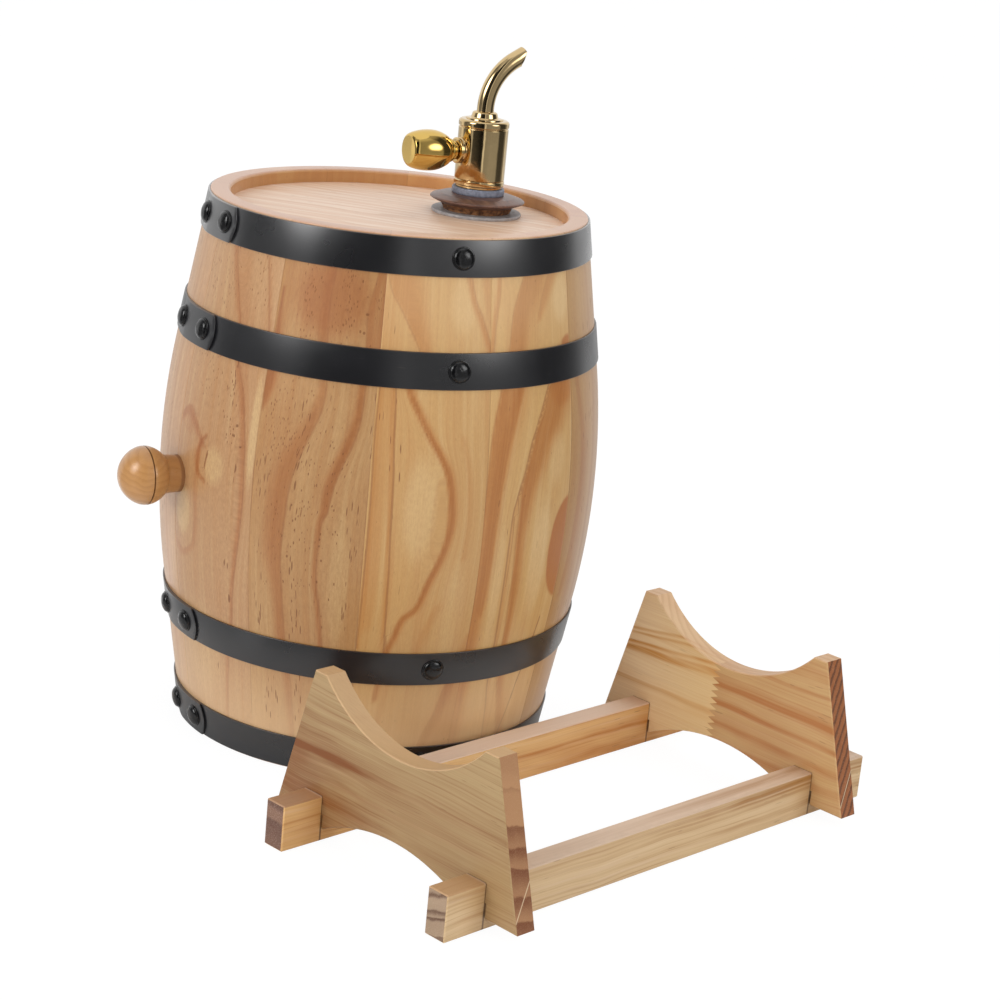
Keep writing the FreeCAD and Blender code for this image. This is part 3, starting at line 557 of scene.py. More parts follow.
# Each board's middle line, across from the left edge of the sheet.
BOARD_MIDDLES = {"stave_12": 101, "stave_01": 335, "stave_02": 568, "stave_03": 801,
                 "stave_04": 1035, "stave_05": 1268}
STRIPES = {
    "stave_12": [
        (0.35, 0.15, [(150, 30, 8), (146, 300, 8), (160, 600, 8), (150, 900, 8)]),
        (0.3, 0, [(40, 30, 14), (60, 400, 14), (35, 900, 14)]),
    ],
    "stave_01": [
        (0.3, 0, [(222, 20, 7), (208, 120, 7), (204, 300, 7), (196, 600, 7), (205, 900, 7)]),
        (0.6, 0.35, [(298, 10, -14), (305, 41, -14), (317, 71, -12), (333, 105, -12),
            (350, 138, -11), (362, 163, -10), (380, 232, -11), (403, 275, -12), (423, 348, -12),
            (430, 408, -11), (432, 458, -10), (425, 525, -9), (413, 608, -8), (407, 668, -7),
            (391, 739, -7), (378, 850, -7)]),
        (0.28, 0, [(305, 41, 45), (333, 105, 45), (362, 163, 40), (382, 232, 30), (405, 300, 16)]),
        (0.5, 0.4, [(400, 20, 6), (405, 41, 6), (420, 88, 6), (430, 121, 6), (440, 161, 6),
            (450, 200, 6)]),
        (0.62, 0.12, [(312, 376, 10), (300, 366, 12), (283, 345, 16), (262, 330, 20), (245, 326, 20),
            (226, 334, 16), (214, 352, 9)]),
        (0.42, 0.1, [(300, 378, 8), (293, 420, 7), (290, 455, 8), (296, 500, 9), (292, 545, 10),
            (276, 566, 12), (248, 576, 12), (224, 560, 10), (212, 530, 6), (208, 490, 4)]),
        (0, 1, [(326, 388, 3), (323, 402, 3), (320, 416, 3)]),
        (0.7, 0.2, [(318, 366, -7), (304, 380, -9), (297, 402, -10), (303, 425, -9), (322, 436, -6)]),
    ],
    "stave_02": [
        (0.85, 0.3, [(459, 92, 2), (457, 160, 13), (455, 205, 24), (454, 245, 24), (455, 290, 3)]),
        (0.62, 0.3, [(579, 10, -18), (577, 41, -18), (571, 105, -20), (574, 161, -22),
            (585, 232, -18), (580, 275, -24), (560, 325, -30), (540, 368, -38), (530, 412, -44),
            (527, 458, -44), (523, 525, -38), (528, 592, -26), (535, 668, -20), (547, 739, -17),
            (555, 829, -14), (560, 900, -12)]),
        (0.6, 0.25, [(674, 10, 13), (670, 41, 13), (657, 88, 13), (653, 121, 14), (655, 165, 14),
            (662, 205, 8)]),
        (0.72, 0.3, [(664, 212, -13), (663, 232, -14), (660, 275, -16), (650, 318, -18),
            (633, 358, -21), (618, 398, -22), (610, 438, -16), (602, 458, -11), (597, 508, -8),
            (598, 558, -8), (605, 602, -8), (613, 668, -8), (618, 760, -8), (622, 900, -8)]),
        (0.55, 0, [(692, 20, -9), (691, 100, -14), (692, 165, -22), (690, 215, -8)]),
    ],
    "stave_03": [
        (0.6, 0.3, [(684, 30, 105), (697, 71, 86), (720, 101, 65), (743, 131, 48), (763, 164, 30),
            (772, 190, 18)]),
        (0.24, 0, [(686, 100, 34), (688, 165, 40), (690, 232, 36), (690, 300, 30), (690, 400, 30),
            (690, 500, 26), (690, 620, 22)]),
        (0.4, 0.55, [(690, 225, 8), (689, 300, 8), (691, 400, 8), (690, 500, 7), (689, 600, 6),
            (687, 668, 6)]),
        (0.55, 0.55, [(718, 200, -8), (722, 232, -9), (725, 308, -9), (730, 375, -8), (733, 432, -7),
            (737, 525, -6), (738, 608, -6), (742, 700, -5)]),
        (0.85, 0.16, [(736, 205, 15), (747, 235, 15), (767, 268, 15), (790, 302, 15), (817, 338, 15),
            (833, 368, 16), (840, 408, 16), (842, 442, 16), (838, 475, 15), (828, 508, 14),
            (810, 548, 14), (792, 588, 13), (768, 612, 13), (752, 645, 13), (743, 670, 13),
            (736, 700, 12), (728, 760, 11)]),
        (0.28, 0, [(857, 308, 12), (872, 358, 12), (880, 425, 12), (878, 500, 12)]),
        (0.3, 0, [(835, 590, 14), (815, 630, 16), (800, 680, 16)]),
        (0.72, 0.3, [(862, 20, -12), (870, 45, -12), (883, 85, -12), (900, 115, -12),
            (920, 161, -10), (930, 185, -6)]),
        (0.35, 0, [(886, 20, 36), (897, 60, 30), (910, 110, 20)]),
        (0.4, 0, [(762, 730, -15), (757, 760, -15), (750, 801, -15), (742, 850, -14)]),
        (0.7, 0.25, [(892, 715, 18), (880, 748, 20), (867, 788, 22), (850, 828, 24), (837, 861, 26),
            (825, 900, 28)]),
        (0.45, 0, [(925, 650, -14), (922, 740, -50), (922, 800, -62), (922, 900, -80)]),
    ],
    "stave_04": [
        (0.65, 0.28, [(947, 15, -11), (943, 45, -11), (938, 85, -11), (930, 125, -10),
            (927, 161, -8), (924, 190, -4)]),
        (0.72, 0.32, [(1018, 15, 80), (1003, 45, 84), (983, 85, 72), (973, 115, 64), (963, 165, 58),
            (950, 205, 66), (942, 237, 68), (933, 273, 64), (925, 323, 54), (920, 373, 45),
            (917, 407, 40), (915, 473, 37), (915, 540, 33), (914, 607, 31), (914, 683, 31),
            (914, 760, 32), (914, 900, 30)]),
        (0.5, 0, [(1000, 237, -22), (985, 273, -24), (968, 323, -24), (957, 373, -22),
            (951, 440, -20), (948, 520, -20), (946, 600, -18)]),
        (0.4, 0.6, [(1085, 210, 9), (1067, 237, 9), (1047, 273, 9), (1023, 323, 9), (1007, 367, 9),
            (993, 407, 9), (985, 440, 9), (982, 490, 9), (982, 540, 9), (985, 607, 9), (990, 683, 9),
            (993, 748, 9), (1001, 788, 9), (1011, 860, 9)]),
        (0.74, 0.25, [(1075, 237, 85), (1058, 273, 72), (1040, 300, 62), (1025, 340, 52),
            (1013, 373, 46), (1003, 407, 38), (1000, 473, 26), (1001, 520, 24), (1003, 573, 24),
            (1008, 640, 18), (1012, 700, 16), (1021, 748, 22), (1037, 798, 24), (1055, 855, 26)]),
        (0, 0.95, [(1115, 640, 3), (1107, 683, 3), (1098, 720, 3), (1088, 754, 3), (1077, 801, 3),
            (1063, 848, 3), (1056, 890, 3)]),
        (0.55, 0.2, [(1103, 20, 26), (1082, 48, 30), (1060, 80, 22), (1046, 110, 14)]),
    ],
    "stave_05": [
        (0.38, 0.1, [(1172, 225, 14), (1183, 273, 18), (1194, 323, 24), (1198, 380, 26),
            (1196, 440, 26), (1186, 523, 24), (1174, 600, 18)]),
        (0.4, 0.15, [(1260, 20, 12), (1275, 300, 12), (1262, 560, 12), (1280, 900, 12)]),
        (0.35, 0.1, [(1330, 20, 9), (1322, 300, 9), (1340, 600, 9), (1325, 900, 9)]),
    ],
}
print("stripes drawn on", len(STRIPES), "boards")

# %% [markdown]
# Patches between the stripes are darker or lighter, and dashes and dots say where the flecks
# and pores of the resin lie thick.  All are ovals on the same sheet: how strong, the middle,
# then the two radii.  A patch of strength 1 is a knot with a crisp edge.

# %% Lay patches, dashes and dots on the same sheet
PATCH_OVALS = {
    "stave_01": [(-0.42, (347, 408), (36, 40)), (0.25, (300, 402), (14, 34)),
                 (0.3, (256, 352), (34, 24)), (-0.55, (442, 330), (12, 110)),
                 (-0.6, (252, 505), (32, 50)), (-0.3, (300, 740), (90, 110))],
    "stave_02": [(0.5, (575, 95), (105, 80)), (-0.35, (640, 560), (26, 160)),
                 (-0.25, (500, 600), (30, 120)), (0.22, (500, 320), (50, 80))],
    "stave_03": [(-0.4, (785, 420), (40, 110)), (-0.35, (855, 90), (40, 60)),
                 (-0.28, (870, 600), (36, 110))],
    "stave_04": [(1, (1157, 516), (60, 92)), (0.95, (1143, 163), (26, 16)),
                 (-0.45, (1070, 520), (34, 130)), (-0.45, (1120, 90), (36, 50)),
                 (-0.35, (966, 560), (13, 150)), (0.5, (1115, 240), (46, 34)),
                 (-0.35, (1100, 350), (36, 60))],
    "stave_05": [(-0.2, (1165, 200), (20, 180)), (0.3, (1215, 470), (40, 220))],
}
DASH_OVALS = {
    "stave_12": [(0.2, (100, 450), (60, 400))],
    "stave_01": [(0.5, (375, 290), (14, 60)), (0.75, (413, 410), (9, 60)),
                 (0.6, (404, 520), (7, 70)), (0.55, (397, 610), (16, 60)), (0.3, (360, 800), (10, 60))],
    "stave_02": [(0.9, (526, 262), (10, 40)), (1, (472, 400), (14, 50)), (0.9, (552, 330), (14, 80)),
                 (1, (548, 420), (12, 70)), (0.9, (541, 535), (10, 45)), (1.1, (555, 625), (15, 60)),
                 (0.8, (477, 600), (14, 70)), (0.9, (660, 455), (14, 70)),
                 (0.7, (656, 590), (10, 60)), (0.8, (500, 790), (16, 70)),
                 (0.9, (568, 780), (10, 70)), (0.6, (600, 280), (8, 40)), (0.5, (632, 275), (5, 20)),
                 (0.7, (682, 300), (4, 60))],
    "stave_03": [(0.1, (720, 300), (30, 200))],
    "stave_04": [(0.12, (960, 500), (20, 300))],
    "stave_05": [(0.15, (1270, 450), (100, 400))],
}
DOT_OVALS = {
    "stave_12": [(0.15, (100, 450), (60, 400))],
    "stave_01": [(0.9, (308, 105), (26, 75)), (0.5, (400, 90), (30, 70)),
                 (0.9, (372, 285), (16, 60)), (0.8, (395, 340), (26, 30)),
                 (0.5, (250, 90), (40, 60)), (0.45, (300, 250), (60, 60))],
    "stave_02": [(1.1, (603, 105), (22, 80)), (0.9, (525, 95), (26, 80)),
                 (0.55, (650, 95), (40, 70)), (0.6, (500, 300), (40, 80)),
                 (0.35, (560, 420), (90, 220))],
}
print("patches laid on", len(PATCH_OVALS), "boards")

# %% [markdown]
# The boards are made in millimetres, across from the board's middle and up from its foot.  The
# sheet is drawn, so what is read off it is rounded: to half a millimetre across the board,
# and to a whole one along it.  Every point of a stave keeps its distance to the nearest stripe,
# and the finish turns that distance into colour.

# %% Turn the sheet's pixels into millimetres


def on_board(name, across, down):
    from_middle = (across - BOARD_MIDDLES[name]) / PIXELS_ACROSS
    return round(from_middle * 2) / 2, round(SHEET_TOP - down / PIXELS_DOWN)


def breadth(pixels):
    """To the nearest half millimetre, or to a tenth where it is under three."""
    wide = pixels / PIXELS_ACROSS
    return round(wide * 2) / 2 if abs(wide) >= 3 else round(wide, 1)


def stripes_on(name):
    return [(strength, line, [(*on_board(name, x, y), breadth(w)) for x, y, w in points])
            for strength, line, points in STRIPES[name]]


def ovals_on_boards(table):
    return {name: [(strength, on_board(name, *middle), (breadth(wide), round(tall / PIXELS_DOWN)))
                   for strength, middle, (wide, tall) in ovals] for name, ovals in table.items()}


FIGURE = {name: stripes_on(name) for name in STRIPES}
PATCHES, DASHES, DOTS = (ovals_on_boards(table) for table in (PATCH_OVALS, DASH_OVALS, DOT_OVALS))
print("drawn in millimetres,", sum(len(stripes) for stripes in FIGURE.values()), "stripes")

# %% [markdown]
# The other boards are made up by a fixed random recipe.  Half of them show nested arches,
# height = top - steepness x across squared, and the others run nearly straight.

# %% Make up the stripes of the boards at the back
dice = np.random.default_rng(7)


def arched_board():
    """Nested arches about one wandering middle line."""
    middle = dice.uniform(-9, 9)
    steep = dice.uniform(0.25, 0.45)
    upward = dice.choice((-1, 1))
    stripes = []
    for top in np.arange(-10, 560, dice.uniform(34, 46)) + dice.uniform(-6, 6):
        across = np.linspace(-29, 29, 23)
        height = top - steep * (across - middle) ** 2
        height = height if upward > 0 else 260 - height
        seen = (height > -25) & (height < 285)
        if seen.sum() > 2:
            widths = np.full(len(across), upward * dice.uniform(2.5, 9.0))
            stripes.append((dice.uniform(0.4, 0.7), dice.uniform(0.1, 0.4),
                            list(zip(across[seen], height[seen], widths[seen]))))
    return stripes


def straight_board():
    """Stripes that run the length of the board and drift a little, all alike."""
    height = np.linspace(264, -4, 9)
    drift = np.cumsum(dice.normal(0, 1.0, 9))
    stripes = []
    for across in np.arange(-27, 28, dice.uniform(7, 11)) + dice.uniform(-2, 2):
        wander = drift * dice.uniform(0.8, 1.2) + dice.normal(0, 0.25, 9)
        widths = dice.uniform(1.5, 5.0) * np.linspace(dice.uniform(0.6, 1.4), 1.0, 9)
        stripes.append((dice.uniform(0.3, 0.65), dice.uniform(0.0, 0.4),
                        list(zip(across + wander, height, widths))))
    return stripes


for index in range(5, STAVE_COUNT - 1):
    FIGURE["stave_%02d" % (index + 1)] = arched_board() if index % 2 else straight_board()
print("stripes on", len(FIGURE), "boards")

# %% [markdown]
# `stripe_fields` measures every point of a board against every stripe.  The curve through the
# points is a Catmull-Rom spline, so a few points make a smooth line.  A stripe is a soft band on
# one side of its line, and may have a fine dark line along its edge.  The bands are put down as
# strengths.  The lines are much finer than the mesh, so the mesh carries the distance to the
# nearest of them, which the shader turns into a line as thin as it likes.  A "flow" coordinate is
# the place across the board less the local bend of the stripes: fibres drawn along it follow the
# figure round every bend.

# %% Measure the boards against their stripes
def smooth_curve(points, steps=6):
    """Catmull-Rom spline: each span is a cubic whose end slopes are half the chord from the point
    before to the point after."""
    points = np.asarray(points, dtype=float)
    padded = np.concatenate([2 * points[:1] - points[1:2], points, 2 * points[-1:] - points[-2:-1]])
    a, b, c, d = (padded[k:len(padded) - 3 + k, None, :] for k in range(4))
    t = np.linspace(0, 1, steps, endpoint=False)[None, :, None]
    spans = 0.5 * (2 * b + (c - a) * t + (2 * a - 5 * b + 4 * c - d) * t ** 2
                   + (3 * b - a - 3 * c + d) * t ** 3)
    return np.concatenate([spans.reshape(-1, points.shape[1]), points[-1:]])


def measure(places, curve):
    """Signed distance from each place to a polyline, positive to the left of its direction (which
    is right of it on a board whose lines are read downwards), and the band's width there."""
    start, step = curve[:-1, :2], np.diff(curve[:, :2], axis=0)
    offset = places[:, None, :] - start[None]
    along = np.clip((offset * step).sum(-1) / (step ** 2).sum(-1), 0, 1)
    gap = offset - along[..., None] * step
    nearest = np.argmin((gap ** 2).sum(-1), axis=1)
    rows = np.arange(len(places))
    gap, along = gap[rows, nearest], along[rows, nearest]
    way = step[nearest]
    side = np.sign(way[:, 0] * gap[:, 1] - way[:, 1] * gap[:, 0])
    width = curve[nearest, 2] * (1 - along) + curve[nearest + 1, 2] * along
    return side * np.sqrt((gap ** 2).sum(-1)), width


def soft_step(low, high, x):
    """0 below low, 1 above high, and 3t^2 - 2t^3 between."""
    t = np.clip((x - low) / (high - low), 0, 1)
    return t * t * (3 - 2 * t)


def stripe_fields(places, stripes):
    """(band, reach, near, tone, flow).  band: 1 less the product of 1 - strength x (a rise over
    the line x a fall that begins half way over the width).  reach: signed distance to the nearest
    fine line, near: the same without its sign, because the sign flips half way between two lines,
    where it means nothing.  tone: that line's strength.  flow: across less the bends."""
    clear = np.ones(len(places))
    reach = np.full(len(places), 30.0)
    tone = np.zeros(len(places))
    bend = np.zeros(len(places))
    weight = np.full(len(places), 0.02)
    for strength, line, points in stripes:
        curve = smooth_curve(points)
        gap, width = measure(places, curve)
        inside, size = gap * np.sign(width), np.abs(width)
        fall = 1 - soft_step(0.45 * size, 1.30 * size + 0.4, inside)
        clear *= 1 - strength * soft_step(-1.1, 0.7, inside) * fall
        nearer = (np.abs(gap) < np.abs(reach)) & (line > 0)
        reach[nearer] = gap[nearer]
        tone[nearer] = line
        if np.ptp(curve[:, 1]) > 90:
            order = np.argsort(curve[:, 1])
            centre = np.interp(places[:, 1], curve[order, 1], curve[order, 0])
            pull = 1 / (np.abs(places[:, 0] - centre) + 3.0) ** 2
            bend += pull * (centre - curve[:, 0].mean())
            weight += pull
    return 1 - clear, reach, np.abs(reach), tone, places[:, 0] - bend / weight


def oval_field(places, ovals):
    """Sum of ovals: strength x smooth fall from 1 inside to 0 outside.  A full one is a knot, and
    its edge is crisp."""
    total = np.zeros(len(places))
    for strength, centre, radii in ovals:
        away = np.sqrt((((places - centre) / radii) ** 2).sum(-1))
        soft = 0.14 if strength == 1 else 0.55
        total += strength * (1 - soft_step(1 - soft, 1 + soft / 2, away))
    return total


print("field helpers ready")

# %% [markdown]
# Each board came from another part of the tree, so each has its own tint: how pink, how yellow and
# how light.  Resin flecks gather in columns: dashes where the fibres lie along the surface, and
# dots where they run out of it.

# %% Write the fields onto the boards
TINTS = [(0.70, 0.20, 0.52), (0.45, 0.40, 0.42), (0.10, 0.80, 0.58), (0.05, 0.95, 0.62),
         (0.25, 0.60, 0.40), (0.35, 0.50, 0.50), (0.60, 0.25, 0.55), (0.10, 0.75, 0.60),
         (0.50, 0.35, 0.45), (0.20, 0.70, 0.52), (0.65, 0.20, 0.48), (0.75, 0.10, 0.62)]
SPARSE = [(0.45, (-8, 130), (12, 120)), (0.3, (14, 60), (8, 60))]
BOARD_SHIFT = 53.0              # from one board to the next in the wood that the noise is cut from


def dress_stave(stave, index):
    name = "stave_%02d" % (index + 1)
    points = mesh_points(stave.data)
    turn = np.arctan2(points[:, 1], points[:, 0]) - BUNG_AZIMUTH - (index + 0.5) * STAVE_ANGLE
    turn = (turn + math.pi) % (2 * math.pi) - math.pi
    across = turn * BELLY / MM
    height = points[:, 2] / MM
    depth = (cask_radius(points[:, 2]) - np.hypot(points[:, 0], points[:, 1])) / MM
    places = np.stack([across, height], axis=1)
    band, reach, near, tone, flow = stripe_fields(places, FIGURE[name])
    to_edge = np.clip(STAVE_ANGLE / 2 * BELLY / MM - np.abs(across), 0, 8)
    fields = {
        "board": np.stack([flow, height, depth + BOARD_SHIFT * index], axis=1),
        "band": band,
        "reach": reach,
        "near": near,
        "tone": tone,
        "patch": oval_field(places, PATCHES.get(name, [])),
        "dashes": oval_field(places, DASHES.get(name, SPARSE)),
        "dots": oval_field(places, DOTS.get(name, [])),
        "edge": to_edge,
        "depth": depth,
        "tint": np.tile(TINTS[index], (len(points), 1)),
    }
    for key, array in fields.items():
        keep_field(stave.data, key, array)


for index, stave in enumerate(staves):
    dress_stave(stave, index)
print("fields on each stave:", [a.name for a in staves[0].data.attributes if a.domain == "POINT"])

# %% [markdown]
# ## Hoops
# Each hoop is one strap of painted steel, bent round and lapped over itself near the bung.  The
# strap is a small rounded section carried round the cask.  The lap is a second layer that ends in
# a shallow round nose, and its other end sinks into the strap, where the real one dives under.

# %% Make the hoops
STRAP = 0.9 * MM
STRAP_WIDTH = 16.5 * MM
STRAP_PLAY = 0.05 * MM
LAP = (math.radians(-17.0), math.radians(10.0))
NOSE_RADIUS = 13.0 * MM
NOSE_START = 0.8                # share of the lap where its rows begin to crowd towards the nose
LAP_RAMP = 0.35                 # share of the lap over which it rises out of the strap
LAP_SINK = 0.3 * MM             # how deep the lap's inner face lies in the strap
HOOP_NAMES = ("front_chime", "front_bilge", "rear_bilge", "rear_chime")
RAISED = STRAP_PLAY + STRAP


def strap_section(thickness, shoulder=0.3 * MM):
    """Closed section of (out, up): a flat bar with rounded edges, up from 0 to the strap's width."""
    corners = [(0, STRAP_WIDTH / 2), (0, 0), (thickness, 0), (thickness, STRAP_WIDTH / 2),
               (thickness, STRAP_WIDTH), (0, STRAP_WIDTH), (0, STRAP_WIDTH * 0.51)]
    return fillet(corners, [0, 0.1 * MM, shoulder, 0, shoulder, 0.1 * MM, 0], steps=6)


def make_strap(low):
    """Section carried once round: radius = cask radius at that height + play + out."""
    section = strap_section(STRAP)
    angle = np.linspace(0, 2 * math.pi, 256, endpoint=False)[:, None]
    height = low + section[None, :, 1] + 0 * angle
    radius = cask_radius(height) + STRAP_PLAY + section[None, :, 0]
    return np.stack([radius * np.cos(angle), radius * np.sin(angle), height], axis=-1)


def make_lap(low):
    """Second layer.  Its half width shrinks to the nose's circle at the free end, and its
    thickness grows from next to nothing over the first third."""
    middle_radius = float(cask_radius(low + STRAP_WIDTH / 2))
    crowd = np.sin(np.linspace(0, math.pi / 2, 24)[1:])
    t = np.concatenate([np.linspace(0, NOSE_START, 40), NOSE_START + (1 - NOSE_START) * crowd])
    angle = LAP[0] + t * (LAP[1] - LAP[0])
    from_nose = (LAP[1] - angle) * middle_radius
    nose = np.sqrt(np.clip(NOSE_RADIUS ** 2 - (NOSE_RADIUS - from_nose) ** 2, 0, None))
    half = np.where(from_nose > NOSE_RADIUS, STRAP_WIDTH / 2, np.minimum(nose, STRAP_WIDTH / 2))
    half = np.maximum(half, 0.6 * MM)[:, None]
    grow = np.clip(t / LAP_RAMP, 0.02, 1)[:, None]
    section = strap_section(STRAP)[None, :, :]
    up = STRAP_WIDTH / 2 + (section[..., 1] - STRAP_WIDTH / 2) * half / (STRAP_WIDTH / 2)
    height = low + up
    radius = cask_radius(height) + RAISED - LAP_SINK + (section[..., 0] + LAP_SINK) * grow
    angle = (angle + BUNG_AZIMUTH)[:, None]
    return np.stack([radius * np.cos(angle), radius * np.sin(angle), height], axis=-1)


def make_hoop(name):
    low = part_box(name + "_hoop")[0].z
    strap, lap = make_strap(low), make_lap(low)
    first = strap.shape[0] * strap.shape[1]
    faces = (grid_faces(*strap.shape[:2], True, True) + grid_faces(*lap.shape[:2], False, True, first)
             + end_faces(*lap.shape[:2], first))
    points = np.concatenate([strap.reshape(-1, 3), lap.reshape(-1, 3)])
    hoop = build_object(name + "_strap", points, faces, smooth_degrees=50)
    height = mesh_points(hoop.data)[:, 2]
    keep_field(hoop.data, "edge", np.minimum(height - low, low + STRAP_WIDTH - height) / MM)
    return wear(hoop, name + "_hoop", "cask")


hoops = [make_hoop(name) for name in HOOP_NAMES]

# %% [markdown]
# ## Rivets
# A rivet's head was spread by a hammer in a dished set, so it is a dome on a thin flat brim, and
# none is quite like the next.  One lathe outline makes the dome, and each copy gets shallow hammer
# marks of its own, by a fixed random recipe.

# %% Make the rivets
RIVET_RADIUS = 5.4 * MM
RIVET_HEIGHT = 2.6 * MM
BRIM_WIDTH = 0.55 * MM
BRIM_HEIGHT = 0.45 * MM
RIVET_PLACES = [(-11.0, 2), (4.0, 2), (81.0, 1), (171.0, 1), (261.0, 1)]  # degrees, layers of strap


def rivet_outline():
    """Brim, then a dome that is a quarter of an ellipse, as (radius, height)."""
    t = np.linspace(0, math.pi / 2, 12)
    radius = RIVET_RADIUS - BRIM_WIDTH
    height = BRIM_HEIGHT + (RIVET_HEIGHT - BRIM_HEIGHT) * np.sin(t)
    dome = np.stack([radius * np.cos(t), height], axis=1)
    brim = fillet([(0, -0.1 * MM), (RIVET_RADIUS, -0.1 * MM), (RIVET_RADIUS, 0.4 * MM),
                   (radius, BRIM_HEIGHT)], [0, 0, 0.25 * MM, 0], steps=5)
    return np.concatenate([brim[:-1], dome])


def hammered(points):
    """Dome with shallow hammer marks: height falls by up to 3 % where small waves cross."""
    phase = dice.uniform(0, 6.28, 4)
    x, y = points[..., 0] / MM, points[..., 1] / MM
    waves = np.sin(x * 1.3 + phase[0]) * np.sin(y * 1.5 + phase[1])
    waves += 0.5 * np.sin(x * 2.9 + y * 2.2 + phase[2])
    points[..., 2] -= np.where(points[..., 2] > 0.8 * MM, (waves + 1.5) * 0.03 * MM, 0)
    return points


def make_rivets(name):
    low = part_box(name + "_hoop")[0].z
    middle = low + STRAP_WIDTH / 2
    slope = TAPER if middle > HALF else -TAPER
    radius = float(cask_radius(middle)) + STRAP_PLAY
    all_points, faces, first = [], [], 0
    for degrees, layers in RIVET_PLACES:
        dome = hammered(lathe(rivet_outline(), 40))
        azimuth = math.radians(degrees) + BUNG_AZIMUTH
        out = np.array([math.cos(azimuth) * math.cos(slope), math.sin(azimuth) * math.cos(slope),
                        math.sin(slope)])
        foot = np.array([radius * math.cos(azimuth), radius * math.sin(azimuth), middle])
        placed = aim(dome.reshape(-1, 3), out, foot + out * STRAP * layers)
        rows, columns = dome.shape[:2]
        faces += grid_faces(rows, columns, False, True, first)
        all_points.append(placed)
        first += rows * columns
    rivets = build_object(name + "_domes", np.concatenate(all_points), faces, smooth_degrees=50)
    return wear(rivets, name + "_rivets", "cask")


rivets = [make_rivets(name) for name in HOOP_NAMES]
print(sum(len(r.data.polygons) for r in rivets), "faces in all rivets")

# %% [markdown]
# ## The tap
# The tap's body is one casting turned on a lathe: a shank that goes down through the bush, a bead
# over the seat, a plain barrel, a rounded shoulder between two fine grooves, a dished step and a
# small domed collar.  Polished metal is all about its edges, so every corner of the outline gets
# its own fillet, and the mirror shows each one as a line of light.

# %% Turn the tap's body
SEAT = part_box("tap_gasket")[1].z
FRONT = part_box("front_head")[1].z
TAP_FOOT = np.array(sum(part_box("tap_gasket"), Vector())) / 2 * (1, 1, 0)
BODY_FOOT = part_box("tap_body")[0].z
BODY_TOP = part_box("tap_body")[1].z
BARREL = 12.25                  # radii and heights of outlines are in millimetres
SPOUT_SOCKET = 8.0


def millimetres(corners, base=0.0):
    """(radius, height) corners in millimetres above base, as metres."""
    return np.array(corners) * MM + (0, base)


def upright(outline, around=128):
    """A lathe outline turned about the tap's own axis."""
    return lathe(outline, around) + TAP_FOOT


def turning(name, points, smooth_degrees, node, body="cask"):
    """An outline turned right round that closes on itself, and stands for its CAD node."""
    closed = dict(wrap_rows=True, wrap_columns=True, smooth_degrees=smooth_degrees)
    return wear(skin(name, points, **closed), node, body)


def body_outline():
    shank_end = (BODY_FOOT - SEAT) / MM
    top = (BODY_TOP - SEAT) / MM
    corners = [(3, shank_end), (7, shank_end), (8, shank_end + 1), (8, 0), (11.3, 0), (11.3, 1.1),
               (BARREL, 1.25), (BARREL, 3.5), (BARREL - 0.4, 3.8), (BARREL - 0.15, 4.25),
               (BARREL - 0.15, 28.6), (BARREL - 0.5, 28.9), (BARREL - 0.5, 29.3), (BARREL, 29.6),
               (BARREL, 32.6), (9.3, 32.75), (9.1, 32.3), (8.7, 32.3), (8.5, 33.4), (6.9, 33.4),
               (6.5, 33.8), (6.3, 34.6), (5.9, top - 0.5), (4.9, top), (4.15, top),
               (4.15, top - SPOUT_SOCKET), (3, top - SPOUT_SOCKET)]
    radii = [0, 0, 0, 0.2, 0.3, 0.15, 0.7, 0.7, 0.12, 0.12, 0.3, 0.1, 0.1, 0.25, 1.9, 0.5, 0.2,
             0.2, 0.45, 0.3, 0.3, 0.5, 0.9, 0.3, 0.15, 0, 0]
    return fillet(millimetres(corners, SEAT), np.array(radii) * MM, steps=8)


tap_body = turning("tap_casting", upright(body_outline(), 160), 60, "tap_body")
print("tap body", len(tap_body.data.polygons), "faces")

# %% [markdown]
# ## The spout
# A tube bent on a former: straight out of the collar, round through sixty degrees, then a short
# straight tail with its mouth cut on the slant.  The section is a ring of points carried along the
# centre line.  The tail's last rings slide along it until they all lie in the slanting cut.

# %% Bend the spout
SPOUT_RISE = 1.2 * MM
BEND_RADIUS = 27.0 * MM
BEND = math.radians(60.0)
SPOUT_TAIL = 6.5 * MM
TUBE = (3.1 * MM, 4.1 * MM)
MOUTH_SLANT = math.radians(15.0)
SPOUT_SIDE = -np.array([math.cos(BUNG_AZIMUTH), math.sin(BUNG_AZIMUTH), 0.0])
UP = np.array([0.0, 0.0, 1.0])


def spout_line(count=48):
    """Centre line as (sideways, height) and its direction: a rise, an arc, a straight tail."""
    foot = BODY_TOP - SPOUT_SOCKET * MM
    bend_start = BODY_TOP + SPOUT_RISE
    t = np.linspace(0, BEND, count)
    arc = np.stack([BEND_RADIUS * (1 - np.cos(t)), bend_start + BEND_RADIUS * np.sin(t)], axis=1)
    way = np.stack([np.sin(t), np.cos(t)], axis=1)
    tail = arc[-1] + way[-1] * SPOUT_TAIL
    line = np.concatenate([[(0, foot)], arc, [arc[-1] + way[-1] * 1.5 * MM, tail]])
    return line, np.concatenate([way[:1], way, way[-1:], way[-1:]])


